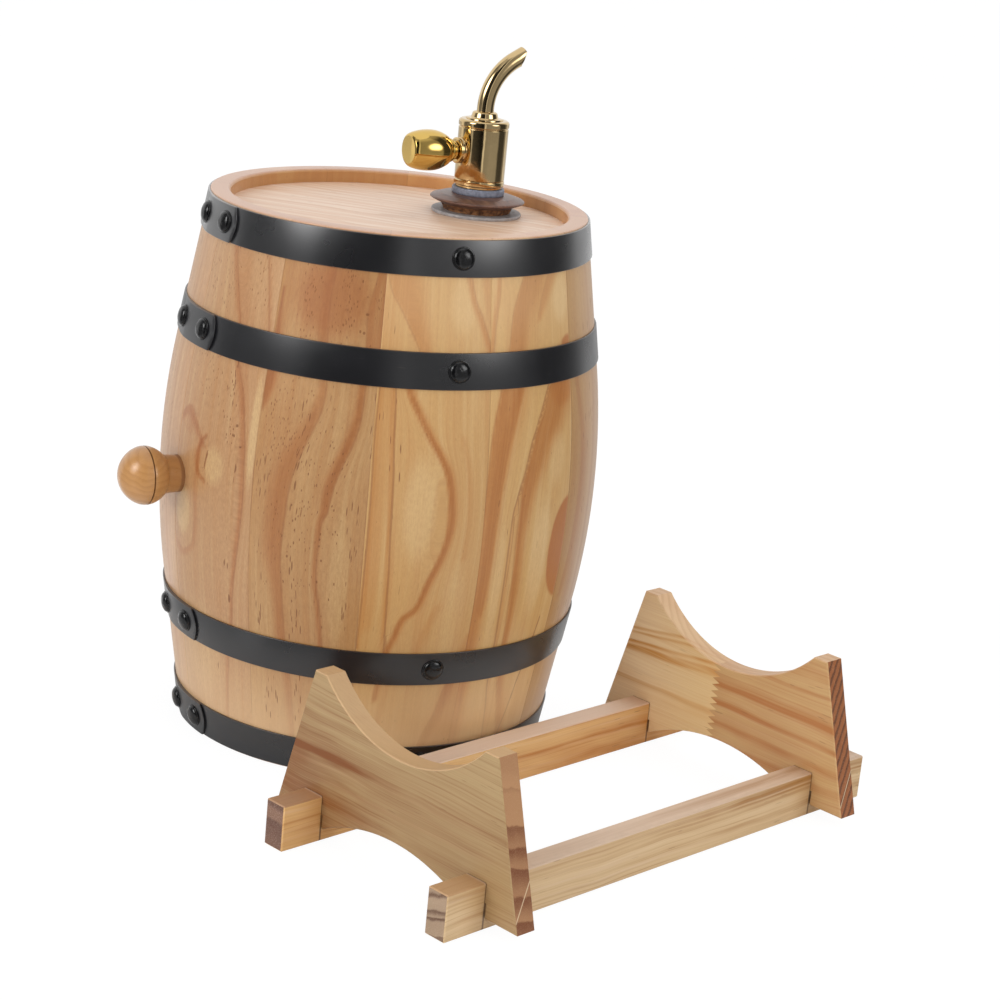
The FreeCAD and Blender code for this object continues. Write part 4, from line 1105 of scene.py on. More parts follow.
def spout_points(around=64):
    """Rings along the line, outside going out and bore coming back, joined by a rounded lip."""
    line, way = spout_line()
    normal = np.stack([way[:, 1], -way[:, 0]], axis=1)
    angle = np.linspace(0, 2 * math.pi, around, endpoint=False)[None, :]
    wall, middle = (TUBE[1] - TUBE[0]) / 2, (TUBE[1] + TUBE[0]) / 2
    lip = np.linspace(0, math.pi, 9)
    rings = [(k, TUBE[1], 0.0) for k in range(len(line) - 1)]
    rings += [(len(line) - 1, middle + wall * math.cos(a), wall * math.sin(a)) for a in lip]
    rings += [(k, TUBE[0], 0.0) for k in range(len(line) - 2, -1, -1)]
    order = np.array([k for k, _, _ in rings])
    radius = np.array([r for _, r, _ in rings])[:, None]
    beyond = np.array([b for _, _, b in rings])[:, None]
    in_plane = radius * np.cos(angle)
    flat = line[order][:, None, :] + in_plane[..., None] * normal[order][:, None, :]
    cut = np.array([math.cos(MOUTH_SLANT), -math.sin(MOUTH_SLANT)])
    slack = TUBE[1] * math.tan((math.pi / 2 - BEND + MOUTH_SLANT) / 2)
    at_cut = line[-1] + (-slack, -slack / 2)
    slide = ((at_cut - flat) @ cut) / (way[-1] @ cut) - wall
    slide = np.where((order == len(line) - 1)[:, None], np.minimum(slide, -wall), 0.0)
    flat = flat + (slide + beyond)[..., None] * way[order][:, None, :]
    out = radius * np.sin(angle)
    across = np.cross(UP, SPOUT_SIDE)
    return flat[..., :1] * SPOUT_SIDE + flat[..., 1:] * UP + out[..., None] * across + TAP_FOOT


spout = turning("spout_tube", spout_points(), 60, "spout")

# %% [markdown]
# ## Knob and bonnet
# The knob is turned too, about the valve's axis, which crosses the tap's.  Its barrel is one
# shallow arc, it ends in a flat disc with a rounded edge, and a neck with a ring and two fine
# beads joins it to the bonnet.  `across_tap` lays an outline along that axis.

# %% Turn the knob and the bonnet
VALVE_LEVEL = (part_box("tap_knob")[0].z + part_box("tap_knob")[1].z) / 2
STEM = 3.04                     # the plug's stem and its play, inside knob and bonnet
STEM_END = 21.99


def across_tap(outline, around=96):
    """Outline of (radius, reach from the tap's axis) turned about the valve's axis."""
    return aim(lathe(outline, around), -SPOUT_SIDE, TAP_FOOT + UP * VALVE_LEVEL)


def knob_outline():
    """Neck, ring, barrel and face.  The barrel is radius = widest - bulge x |t| to the power 2.2,
    t from -1 at its root to 1 at its face."""
    back, root, face = 14.95, 18.95, 39.95
    t = np.linspace(-1, 1, 25)
    reach = root + (t + 1) / 2 * (face - root)
    widest, root_radius, face_radius = 9.8, 6.5, 7.7
    bulge = np.where(t < 0, widest - root_radius, widest - face_radius)
    barrel = np.stack([widest - bulge * np.abs(t) ** 2.2, reach], axis=1)[1:-2]
    start = [(STEM, back), (4.2, back), (4.6, back + 0.7), (4.0, back + 1.3), (4.0, back + 1.9),
             (5.4, back + 2.2), (5.8, back + 2.9), (5.4, back + 3.6), (5.2, root - 0.25), (6.0, root)]
    end = [(face_radius, face - 0.5), (face_radius - 0.9, face), (0, face), (0, STEM_END),
           (STEM, STEM_END)]
    radii = ([0, 0.2, 0.35, 0.3, 0.2, 0.5, 0.6, 0.4, 0.15, 0.4] + [0] * len(barrel)
             + [0.6, 0.7, 0, 0, 0])
    return fillet(np.concatenate([start, barrel, end]) * MM, np.array(radii) * MM, steps=6)


tap_knob = turning("knob_turning", across_tap(knob_outline()), 50, "tap_knob", "valve")


def bonnet_outline():
    corners = [(STEM, 9.05), (5.2, 9.05), (5.2, 11.6), (6.5, 11.9), (5.9, 12.75), (5.9, 13.3),
               (6.2, 13.6), (6.2, 14.2), (5.4, 14.65), (STEM, 14.65)]
    radii = [0, 0, 0.2, 0.5, 0.2, 0.2, 0.2, 0.3, 0.3, 0]
    return fillet(millimetres(corners), np.array(radii) * MM)


valve_bonnet = turning("bonnet_turning", across_tap(bonnet_outline()), 50, "valve_bonnet")
print("knob", len(tap_knob.data.polygons), "faces, bonnet", len(valve_bonnet.data.polygons))

# %% [markdown]
# ## Bush and washers
# A dark wooden bush fills the head's hole.  Its flange is a lens, thin at the rim, and below it the
# plug was left rough from the saw.  Rubber is soft, so the washers bulge a little where they
# are squeezed, and their rims aren't quite round.

# %% Turn the bush and the washers
FLANGE_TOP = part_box("tap_gasket")[0].z
GASKET_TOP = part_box("bush_gasket")[1].z
BUSH_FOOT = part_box("tap_bush")[0].z
BUSH_BORE = 8.05


def around_tap(points, factor):
    """Moves points nearer to the tap's axis or further out, by a factor each."""
    points[..., :2] = TAP_FOOT[:2] + (points[..., :2] - TAP_FOOT[:2]) * factor[..., None]
    return points


def rough_bush():
    """Lens flange over a plug.  On the plug and the flange's underside the radius varies by up to
    0.3 mm with a sum of sines, as torn grain does."""
    foot, low, top = ((level - FRONT) / MM for level in (BUSH_FOOT, GASKET_TOP, FLANGE_TOP))
    corners = [(BUSH_BORE, foot), (15, foot), (15, low), (16.2, low), (16.7, low + 1.2),
               (17.6, low + 2.9), (22.6, low + 5.15), (23.2, low + 5.6), (22.4, low + 6.25),
               (18, top - 0.55), (13.5, top), (BUSH_BORE, top)]
    radii = [0, 0, 0, 0.2, 1.5, 0.8, 0.5, 0.35, 1.2, 3.0, 1.0, 0]
    points = upright(fillet(millimetres(corners, FRONT), np.array(radii) * MM, steps=9), 192)
    height = (points[..., 2] - FRONT) / MM
    angle = np.linspace(0, 2 * math.pi, points.shape[1], endpoint=False)[None, :]
    rough = np.clip((low + 3.4 - height) / 0.8, 0, 1) * np.clip((height - low - 0.1) / 0.4, 0, 1)
    wave = (np.sin(angle * 17 + height * 2.1) + np.sin(angle * 41 + height * 5.0 + 1.0)
            + np.sin(angle * 9 - height * 3.3) + 0.7 * np.sin(angle * 73 + 2.0))
    return around_tap(points, 1 + rough * (wave - 1.5) * 0.09 / 16.5)


tap_bush = turning("bush_turning", rough_bush(), 40, "tap_bush")


def soft_washer(inner, outer, low, high, bulge, wobble):
    """Washer whose rim bows out by bulge, as radius = outer + bulge - drop x t to the power 4 with
    t from -1 to 1 up the rim, and shrinks here and there by wobble round its edge."""
    t = np.linspace(-1, 1, 11)
    rim = np.stack([outer + bulge - (0.25 * MM + bulge) * t ** 4,
                    (low + high) / 2 + (high - low) / 2 * t], axis=1)
    outline = np.concatenate([[(inner, low)], rim, [(inner, high)]])
    angle = np.linspace(0, 2 * math.pi, 128, endpoint=False)
    waves = np.sin(3 * angle + 1) + 0.6 * np.sin(5 * angle) + 0.4 * np.sin(11 * angle)
    shake = np.minimum(1 + wobble / outer * waves, 1.0)
    on_rim = (outline[:, 0] > inner)[:, None]
    return around_tap(upright(outline, len(angle)), np.where(on_rim, shake[None, :], 1.0))


under_bush = soft_washer(15.1 * MM, 21.9 * MM, FRONT, GASKET_TOP, 0, 0.12 * MM)
bush_gasket = turning("bush_washer", under_bush, 40, "bush_gasket")
under_tap = soft_washer(BUSH_BORE * MM, 12.6 * MM, FLANGE_TOP, SEAT, 0.2 * MM, 0.03 * MM)
tap_gasket = turning("tap_washer", under_tap, 40, "tap_gasket")
print("bush", len(tap_bush.data.polygons), "faces")

# %% [markdown]
# ## The bung
# A ball knob turned in one piece with its tapered shank.  The ball is an oval: round sides of a
# small radius and flatter ends of a large one, and the turner cut a fine groove round its middle.

# %% Turn the bung
BALL_RADIUS, BALL_LENGTH, SIDE_RADIUS, NECK = 13.9, 25.0, 9.5, 3.9
SHANK_END = -14.0
BUNG_PLAY = 0.12


def shank(reach):
    """Radius of the tapered shank, in millimetres, at a reach outwards from the belly."""
    return HOLE_RADIUS / MM - BUNG_PLAY + reach * HOLE_TAPER


def arc(radius, middle, first, last, count):
    """Points of an arc about (radius, reach) = middle, from one angle to another."""
    a = np.linspace(first, last, count)[:, None]
    return np.array(middle) + radius * np.concatenate([np.cos(a), np.sin(a)], axis=1)


def bung_outline():
    """Shank, ball and groove as (radius, reach).  The ball's ends are caps about the axis, joined
    by its rounder side."""
    half = BALL_LENGTH / 2
    centre = NECK + half
    side = BALL_RADIUS - SIDE_RADIUS
    cap = (side ** 2 + half ** 2 - SIDE_RADIUS ** 2) / (2 * (half - SIDE_RADIUS))
    shift = cap - half
    join = math.atan2(shift, side)
    lip = 0.36 / SIDE_RADIUS
    neck = math.acos(shank(NECK) / cap)
    groove = [(BALL_RADIUS - 0.25, -0.22), (BALL_RADIUS - 0.75, -0.1), (BALL_RADIUS - 0.75, 0.1),
              (BALL_RADIUS - 0.25, 0.22)]
    pieces = [[(0, SHANK_END), (shank(SHANK_END) - 1, SHANK_END), (shank(SHANK_END + 1), SHANK_END + 1),
               (shank(0), 0), (shank(0.8) - 0.15, 0.8)],
              arc(cap, (0, centre + shift), -neck + 0.02, -join, 14),
              arc(SIDE_RADIUS, (side, centre), -join, -lip, 22)[1:],
              np.array(groove) + (0, centre),
              arc(SIDE_RADIUS, (side, centre), lip, join, 22),
              arc(cap, (0, centre - shift), join, math.pi / 2, 14)[1:-1], [(0, NECK + BALL_LENGTH)]]
    return np.concatenate(pieces) * MM


bung_points = bung_frame(lathe(bung_outline(), 112))
bung = skin("bung_turning", bung_points, wrap_columns=True, smooth_degrees=35)
wear(bung, "bung", "bung_plug")
print("bung", len(bung.data.polygons), "faces")

# %% [markdown]
# ## Pine for the staves
# The finish adds up what a joiner sees on a varnished pine board: a ground colour that differs from
# board to board, broad pale and dark streaks, soft year stripes with one sharp side, hair-fine
# fibres, short dark resin flecks, and a dark line of dirt in each joint.  Some light is painted in
# too: the boards are lightened towards their foot, and the yellow ones near their top.  Everything
# is driven by the fields that the boards carry.

# %% Mix the stave finish
PINK_TAN, ORANGE_TAN, STRAW, PALE = "C29A73", "C19056", "CEA668", "E0C490"
STRIPE, PINK_STRIPE, DEEP_STRIPE = "B8732A", "A9653A", "864A20"


def fibre_fields(finish, board):
    """Hair-fine and broad streaks, both long along the board: noise with coordinates in
    millimetres, squeezed lengthwise."""
    hair = finish.grain(board, (2.6, 0.035, 2.6), 4.0, 0.6)
    broad = finish.grain(board, (0.30, 0.008, 0.30), 3.0, 0.55)
    return hair, broad


def resin_flecks(finish, board, density, size, keep=0.55):
    """Short dashes: the core of a stretched Voronoi cell, kept where its random number is small."""
    distance, colour = finish.cells(finish.stretch(board, size))
    lot, large = finish.split(colour)[0:2]
    core = 1 - (distance - large * 0.10).ramp(0.16, 0.30)
    return core * (1 - (lot - density * keep).ramp(-0.02, 0.02))


def ground_colour(wood, board, pink, yellow, broad, mottle):
    """What lies between the stripes: the board's tint, broad streaks, early wood, drawn patches."""
    colour = wood.mix(pink, wood.mix(yellow, ORANGE_TAN, STRAW), PINK_TAN)
    colour = wood.mix(broad.ramp(0.48, 0.74) * 0.30, colour, PALE)
    colour = wood.mix((1 - broad.ramp(0.26, 0.50)) * 0.38, colour, "C08A52")
    early = wood.grain(board, (0.85, 0.010, 0.2), 2.0, 0.5)
    colour = wood.mix(early.ramp(0.56, 0.66) * 0.18, colour, "B87C42")
    patch = wood.number("patch") + (mottle - 0.5) * 0.16
    colour = wood.mix((0 - patch).ramp(0.08, 0.6) * 0.60, colour, PALE)
    return wood.mix(patch.ramp(0.10, 0.75) * 0.90, colour, "B06A2C")


def year_stripes(wood, board, colour, pink):
    """Lays the drawn stripes and their fine lines over the ground.  Returns their strength too."""
    streak = wood.grain(board, (1.1, 0.014, 0.3), 3.0, 0.6)
    strength = (wood.number("band") * (0.72 + streak * 0.56)).clamp()
    colour = wood.mix(strength, colour, wood.mix(pink, STRIPE, PINK_STRIPE))
    colour = wood.mix((strength - 0.55).clamp() * 0.8, colour, DEEP_STRIPE)
    wobble = wood.grain(board, (0.9, 0.05, 0.9), 3.0)
    reach = wood.number("reach") + wobble - 0.5
    close = 1 - wood.number("near").ramp(1.2, 2.2)
    line = (1 - reach.size().ramp(0.15, 0.75)) * close * wood.number("tone")
    return wood.mix(line * 0.75, colour, DEEP_STRIPE), strength


def fibres_tone_and_painted_light(wood, colour, height, hair, mottle, tint):
    """Fibres, rough patches and each board's lightness, then painted light: every board lighter
    towards its foot, the yellow ones lighter near the top.  The tawny ones are darker near the top.
    """
    pink, yellow, light = tint
    colour = wood.mix((1 - hair) * 0.24, colour, "A8743E", "MULTIPLY")
    rough = (mottle - 0.36).clamp() * (pink * 0.7 + 0.35)
    colour = wood.mix(rough, colour, "96603A", "MULTIPLY")
    colour = wood.mix((0.62 - light).clamp() * 2.0, colour, "C6B589", "MULTIPLY")
    # Painted light: each board is lightened towards its foot, against the shade of the cradle, and the
    # yellow boards near their top.
    low, high = 1 - height.ramp(12.0, 66.0), height.ramp(198.0, 232.0)
    colour = wood.mix(low * (yellow * 0.3 + 0.22), colour, "FFDDB0")
    colour = wood.mix(high * yellow * 0.16, colour, "FFDFB2")
    tawny = (1 - (yellow - 0.4).size() * 5.0).clamp()
    return wood.mix(high * tawny * 0.6, colour, "E2C79E", "MULTIPLY")


def ends_and_joints(wood, board, colour, height):
    """The bare wall inside the chime, end grain on both ends, and dirt in the joints."""
    colour = wood.mix(wood.number("depth").ramp(8.2, 9.0) * 0.62, colour, "CA9056")
    end_grain = (height.ramp(259.2, 259.7) + 1 - height.ramp(0.3, 0.8)).clamp()
    pores = wood.grain(board, (3.0, 1.0, 3.0), 3.0)
    colour = wood.mix(end_grain * 0.70, colour, "D8B09A")
    colour = wood.mix(end_grain * pores.ramp(0.5, 0.7) * 0.5, colour, "A8754C")
    joint = 1 - wood.number("edge").ramp(0.04, 0.36)
    seam = wood.grain(board, (0.01, 0.02, 0.3), 2.0).ramp(0.42, 0.62)
    return wood.mix(joint * (seam * 0.45 + 0.06), colour, "7A4A22")


def stave_finish():
    wood = Finish("pine_stave")
    board = wood.vector("board")
    tint = wood.split(wood.vector("tint"))
    pink, yellow = tint[:2]
    height = wood.split(board)[1]
    hair, broad = fibre_fields(wood, board)
    mottle = wood.grain(board, (1.5, 0.34, 1.5), 3.0, 0.75)
    colour = ground_colour(wood, board, pink, yellow, broad, mottle)
    colour, strength = year_stripes(wood, board, colour, pink)
    colour = fibres_tone_and_painted_light(wood, colour, height, hair, mottle, tint)
    dashes = resin_flecks(wood, board, wood.number("dashes"), (1.10, 0.13, 0.5), 0.75)
    dots = resin_flecks(wood, board, wood.number("dots"), (1.20, 0.42, 0.5), 0.7)
    flecks = (dashes + dots).clamp()
    colour = wood.mix(flecks * 0.72, colour, "703E1A")
    colour = ends_and_joints(wood, board, colour, height)
    relief = hair * 0.5 - flecks * 1.2 + strength * 0.2
    wood.set(Base_Color=colour, Roughness=0.42 + (hair - 0.5) * 0.18 + flecks * 0.2,
             Normal=wood.bump(relief, 0.05 * MM, 0.6), Coat_Weight=0.35, Coat_Roughness=0.28)
    return wood


pine_stave = stave_finish()
for stave in staves:
    paint(stave, pine_stave)
print("stave finish has", len(pine_stave.tree.nodes), "nodes")

# %% [markdown]
# ## Pine for the heads
# A head is three boards, jointed edge to edge and turned to a disc.  The boards are picked out by
# the whole part of the coordinate across them, and each gets its own shift along the tree.

# %% Mix the head finish
HEAD_GRAIN = math.radians(62.0)
HEAD_BOARD = 58.0


def head_finish():
    wood = Finish("pine_head")
    turned = wood.node("ShaderNodeMapping", None, {"Vector": wood.millimetres(),
                                                   "Rotation": (0.0, 0.0, HEAD_GRAIN)})[0]
    along, across, height = wood.split(turned)
    number = (across / HEAD_BOARD + 0.5).whole()
    board = wood.join(across + number * 31.0, along + number * 170.0, height)
    hair, broad = fibre_fields(wood, board)
    bend = wood.grain(board, (0.02, 0.006, 0.02), 2.0)
    years = ((across + number * 13.0 + (bend - 0.5) * 60.0) / 9.0).part()
    stripe = years.ramp(0.55, 0.86) * (1 - years.ramp(0.88, 0.96))
    colour = wood.mix(broad.ramp(0.35, 0.65), "E4C0A2", "EFD6C0")
    colour = wood.mix(stripe * 0.32, colour, "CC9765")
    colour = wood.mix((1 - hair) * 0.20, colour, "B07F52", "MULTIPLY")
    flecks = resin_flecks(wood, board, broad.ramp(0.4, 0.8) * 0.35, (0.85, 0.2, 0.85))
    colour = wood.mix(flecks * 0.5, colour, "9B6A42")
    joint = (across / HEAD_BOARD + 0.5).part()
    line = 1 - joint.ramp(0.001, 0.006)
    colour = wood.mix(line * 0.35, colour, "8A5A33")
    wood.set(Base_Color=colour, Roughness=0.42 + (hair - 0.5) * 0.18,
             Normal=wood.bump(hair * 0.5 - line, 0.05 * MM, 0.5), Coat_Weight=0.18,
             Coat_Roughness=0.25)
    return wood


pine_head = head_finish()
for name in ("front_head", "rear_head"):
    paint(NODES[name], pine_head)
print("head finish has", len(pine_head.tree.nodes), "nodes")

# %% [markdown]
# ## Black paint on steel
# The straps carry a thin satin black stove paint.  It is a little cloudy, has fine scratches from
# driving the hoops on, and is rubbed brown along both edges.  The top hoop is handled most and has
# the most shine.  The rivets were painted with the hoops, but their domes are smoother still.

# %% Mix the strap and rivet finishes


def strap_finish():
    paintwork = Finish("black_strap")
    place = paintwork.millimetres()
    cloud = paintwork.noise(place, 0.035, 3.0)
    grain = paintwork.noise(place, 3.0, 2.0)
    scratch = paintwork.grain(place, (0.10, 0.10, 5.0), 3.0)
    mark = scratch.ramp(0.66, 0.72) * paintwork.noise(place, 0.12, 1.0).ramp(0.45, 0.62)
    rub = 1 - (paintwork.number("edge") + (grain - 0.5) * 0.25).ramp(0.05, 0.45)
    colour = paintwork.mix(cloud, "0D0D10", "17171B")
    colour = paintwork.mix(mark * 0.35, colour, "5A5450")
    colour = paintwork.mix(rub * 0.55, colour, "4A3A30")
    top_hoop = paintwork.split(place)[2].ramp(232.0, 234.0)
    paintwork.set(Base_Color=colour, Roughness=0.30 + (cloud - 0.5) * 0.20 + mark * 0.2,
                  Normal=paintwork.bump(grain + cloud * 2.0, 0.02 * MM, 0.5),
                  Specular_IOR_Level=0.85, Coat_Weight=top_hoop * 0.9, Coat_Roughness=0.26)
    return paintwork


def rivet_finish():
    paintwork = Finish("black_rivet")
    place = paintwork.millimetres()
    grain = paintwork.noise(place, 1.3, 3.0)
    colour = paintwork.mix(grain.ramp(0.45, 0.75), "0A0A0B", "17171A")
    paintwork.set(Base_Color=colour, Roughness=0.13 + (grain - 0.5) * 0.16,
                  Normal=paintwork.bump(grain, 0.12 * MM, 0.6))
    return paintwork


black_strap, black_rivet = strap_finish(), rivet_finish()
for hoop in hoops:
    paint(hoop, black_strap)
for row in rivets:
    paint(row, black_rivet)
print("black paint on", len(hoops), "hoops and", len(rivets), "rows of rivets")

# %% [markdown]
# ## Gold plating
# Bright plating over polished brass is nearly a mirror.  What makes it look real is what it
# reflects, and a faint unevenness of the polish: long soft waves, and a haze where it was wiped.

# %% Mix the metals


def metal_finish(name, code, rich, low, high, waves):
    """code: colour near the tap's axis; rich: colour out on the knob.  The paler, greyer gold near
    the axis is painted reflection: it stands in for the grey that body and spout mirror.
    """
    metal = Finish(name)
    place = metal.millimetres()
    x, y, z = metal.split(place)
    x, y = x - TAP_FOOT[0] / MM, y - TAP_FOOT[1] / MM
    out = ((x * x + y * y) ** 0.5).ramp(13.5, 17.0) * (1 - (z - VALVE_LEVEL / MM).ramp(12.0, 16.0))
    haze = metal.noise(place, 0.16, 4.0)
    swell = metal.noise(place, 0.25, 1.0)
    spots = metal.noise(place, 1.6, 2.0).ramp(0.68, 0.80)
    # Painted reflection: greyer gold near the tap's axis, richer gold out on the knob.
    plate = metal.mix(out, code, rich)
    metal.set(Base_Color=metal.mix(haze * 0.25, plate, "8A6A3A"),
              Roughness=low + haze.ramp(0.35, 0.8) * (high - low) + spots * 0.05,
              Normal=metal.bump(swell, waves * MM, 0.35), Metallic=1.0)
    return metal


gold = metal_finish("gold_plate", "DCC190", "E4C06C", 0.06, 0.11, 0.12)
brass = metal_finish("brass_plug", "C9A25A", "C9A25A", 0.18, 0.34, 0.3)
for piece in (tap_body, spout, tap_knob, valve_bonnet, NODES["tap_back_nut"]):
    paint(piece, gold)
paint(NODES["valve_plug"], brass)
print("metal on the tap")

# %% [markdown]
# ## Rubber, silicone and turned wood
# The soft washers scatter light inside, so they look milky.  The bush is stained dark, smooth on
# its flange and torn below.  The bung is turned from a closer-grained wood, sanded and waxed,
# with the grain running out through the ball.

# %% Mix the small finishes


def rubber_finish(name, first, second, roughness, transmission):
    rubber = Finish(name)
    place = rubber.millimetres()
    cloud = rubber.noise(place, 0.5, 3.0)
    dust = rubber.noise(place, 4.0, 2.0)
    colour = rubber.mix(cloud.ramp(0.35, 0.65), first, second)
    rubber.set(Base_Color=colour, Roughness=roughness + (dust - 0.5) * 0.2,
               Normal=rubber.bump(dust + cloud, 0.05 * MM, 0.5),
               Transmission_Weight=transmission, IOR=1.41)
    return rubber


def bush_finish():
    wood = Finish("stained_wood")
    place = wood.millimetres()
    board = wood.stretch(place, (1.0, 0.16, 0.9))
    hair = wood.grain(place, (2.4, 0.25, 2.4), 4.0, 0.65)
    figure = wood.noise(board, 0.45, 3.0, 0.6, 0.8)
    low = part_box("bush_gasket")[1].z / MM
    torn = 1 - (wood.split(place)[2] - low + (hair - 0.5) * 0.8).ramp(2.7, 3.3)
    smooth = wood.mix(figure.ramp(0.35, 0.65), "5E4238", "7C5A4A")
    rough = wood.mix(figure.ramp(0.40, 0.62), "56341F", "9A6A42")
    splinters = wood.grain(place, (0.5, 0.5, 3.2), 4.0, 0.7, 1.2)
    rough = wood.mix(splinters.ramp(0.55, 0.66) * 0.7, rough, "C99763")
    colour = wood.mix(torn, smooth, rough)
    colour = wood.mix((1 - hair) * 0.4, colour, "6A4630", "MULTIPLY")
    relief = hair * 0.4 + splinters * torn * 3.0
    wood.set(Base_Color=colour, Roughness=0.34 + torn * 0.35 + (hair - 0.5) * 0.2,
             Normal=wood.bump(relief, 0.14 * MM, 0.8))
    return wood


def bung_finish():
    wood = Finish("turned_wood")
    place = wood.millimetres()
    x, y, z = wood.split(place)
    out = x * math.cos(BUNG_AZIMUTH) + y * math.sin(BUNG_AZIMUTH)
    aside = y * math.cos(BUNG_AZIMUTH) - x * math.sin(BUNG_AZIMUTH)
    bend = wood.noise(place, 0.05, 2.0)
    board = wood.join(aside, out, z)
    hair = wood.grain(board, (2.2, 0.22, 2.2), 4.0, 0.6)
    years = ((z + aside * 0.35 + (bend - 0.5) * 12.0) / 3.1).part()
    stripe = years.ramp(0.2, 0.8) * (1 - years.ramp(0.82, 0.98))
    colour = wood.mix(stripe * 0.28, "BE8D55", "A06C3A")
    colour = wood.mix((1 - hair) * 0.28, colour, "A3713F", "MULTIPLY")
    # The shank is darker and rougher up to the mouth of the hole: bare wood there, and partly painted
    # shade.
    on_shank = 1 - (out - BELLY / MM).ramp(0.9, 1.8)
    colour = wood.mix(on_shank * 0.80, colour, "6E4628")
    # Painted shade: the neck and the foot of the ball are darkened.
    stem = 1 - (out - BELLY / MM).ramp(5.0, 10.0)
    colour = wood.mix(stem * 0.45, colour, "96602F")
    # Painted shade: darker in the fine groove round the ball.
    groove = 1 - (out - (BELLY / MM + NECK + BALL_LENGTH / 2)).size().ramp(0.18, 0.5)
    colour = wood.mix(groove * 0.7, colour, "5C3A20")
    wood.set(Base_Color=colour, Roughness=0.30 + (hair - 0.5) * 0.15 + on_shank * 0.25,
             Normal=wood.bump(hair, 0.04 * MM, 0.5), Coat_Weight=0.35, Coat_Roughness=0.15)
    return wood


silicone = rubber_finish("clear_silicone", "B4B0B0", "C9C7C8", 0.42, 0.35)
grey_rubber = rubber_finish("grey_rubber", "6E7280", "858A99", 0.44, 0.0)
black_rubber = rubber_finish("black_rubber", "141414", "202020", 0.55, 0.0)
stained_wood, turned_wood = bush_finish(), bung_finish()
for piece, finish in ((bush_gasket, silicone), (NODES["tap_back_washer"], silicone),
                      (tap_gasket, grey_rubber), (NODES["valve_seals"], black_rubber),
                      (tap_bush, stained_wood), (bung, turned_wood)):
    paint(piece, finish)
print("small finishes done")

# %% [markdown]
# ## Pine boards for the cradle
# A sawn board shows the rings of the tree as streaks along its faces and as bands across its end,
# because the saw cuts the same rings both ways.  Each board is described by a few figures read
# across it: where the warm late wood lies up the face (the figure), how the bands follow each other
# on the end (the rings) and how steeply they cross it (the tilt).  The whole profile is one colour
# ramp, and slow noise makes it wander along the board.  The far plate is glued up from two pieces
# with finger joints, so it has two figures with a zigzag between them.

# %% Mix the cradle's finish
ALONG_X, ALONG_Y = 0, 1


class Plank:
    """A sawn board's finish under way.  In millimetres: length runs along the grain, into goes in
    from the front face, and level is the height up the board plus the slow bend of the rings."""

    def __init__(self, name, along, face):
        self.wood = wood = Finish(name)
        self.along = along
        self.place = wood.millimetres()
        x, y, self.z = wood.split(self.place)
        self.length, across = (x, y) if along == ALONG_X else (y, x)
        self.into = (across - face).size()
        drift = wood.grain(wood.join(self.length, across, self.z), (0.012, 0.02, 0.02), 2.0)
        self.level = self.z + self.into + (drift - 0.5) * 7.0
        self.board = wood.join(self.level, self.length, self.into)
        self.hair, self.broad = fibre_fields(wood, self.board)
        self.fine = wood.grain(self.board, (1.5, 0.012, 0.6), 3.0, 0.6)
        self.swing = wood.grain(self.board, (0.12, 0.020, 0.1), 2.0).ramp(0.30, 0.62)

    def face(self, pale, warm, figure, warmer):
        """Front and back: late wood over early wood where the figure says.  Returns both the colour
        and the share of late wood."""
        wood = self.wood
        gain = (self.length.ramp(*warmer) * 0.6 + 0.4) * (self.swing * 0.55 + 0.65)
        late = (wood.profile(self.level, figure) * gain + (self.fine - 0.5) * 0.8).clamp()
        thread = wood.grain(self.board, (0.85, 0.006, 0.4), 2.0, 0.5).ramp(0.55, 0.66)
        thread = thread * (self.swing * 0.6 + 0.4)
        return wood.mix(thread * 0.42, wood.mix(late, pale, warm), warm), late

    def second_piece(self, colour, joint, pale, warm, figure):
        """Past a finger joint another piece of wood begins.  The joint's line is joint + a zigzag of
        the height, and the figure of the second piece fans out along it.  Its early wood grows paler
        away from the joint: painted light against the cask's shadow on that end."""
        wood = self.wood
        zigzag = ((self.z / FINGER_PITCH).part() - 0.5).size() * FINGER_LENGTH + joint
        beyond = self.length - joint
        fan = self.level + beyond * (self.z - 30.0) * 0.006
        gain = self.swing * 0.4 + 0.6
        late = (wood.profile(fan, figure) * gain + (self.fine - 0.5) * 0.7).clamp()
        # Painted light: the early wood grows paler away from the joint, against the cask's shadow there.
        early = wood.mix(beyond.ramp(0.0, 75.0), pale, "FFE6BE")
        other = wood.mix(late, early, warm)
        colour = wood.mix((self.length - zigzag).ramp(-0.08, 0.08), colour, other)
        glue = 1 - (self.length - zigzag).size().ramp(0.1, 0.4)
        return wood.mix(glue * 0.15, colour, "9A6F40")

    def end(self, colour, share, band, ends, pale_wood_and_top_light):
        """Sawn ends: the rings as bands, with pores, and on a plate the glue line across it."""
        wood = self.wood
        pores = wood.noise(self.place, 2.4, 3.0, 0.6)
        grain = wood.mix(band, ends[0], ends[1])
        grain = wood.mix(pores.ramp(0.45, 0.75) * 0.22, grain, pale_wood_and_top_light)
        if self.along == ALONG_Y:
            seam = 1 - (self.z - self.into * 1.5 - 9.5).size().ramp(0.25, 0.65)
            grain = wood.mix(seam * 0.65, grain, "E5CDA8")
        return wood.mix(share, colour, grain)

    def plate_gaps(self, colour, warm):
        """Shade and a dark line on a rail where it goes through the plates."""
        for plate in (NEAR_X, FAR_X):
            gap = (self.length - plate).size()
            colour = self.wood.mix((1 - gap.ramp(0.0, 16.0)) * 0.30, colour, warm)
            colour = self.wood.mix((1 - gap.ramp(0.2, 0.8)) * 0.75, colour, "4A2F1C")
        return colour


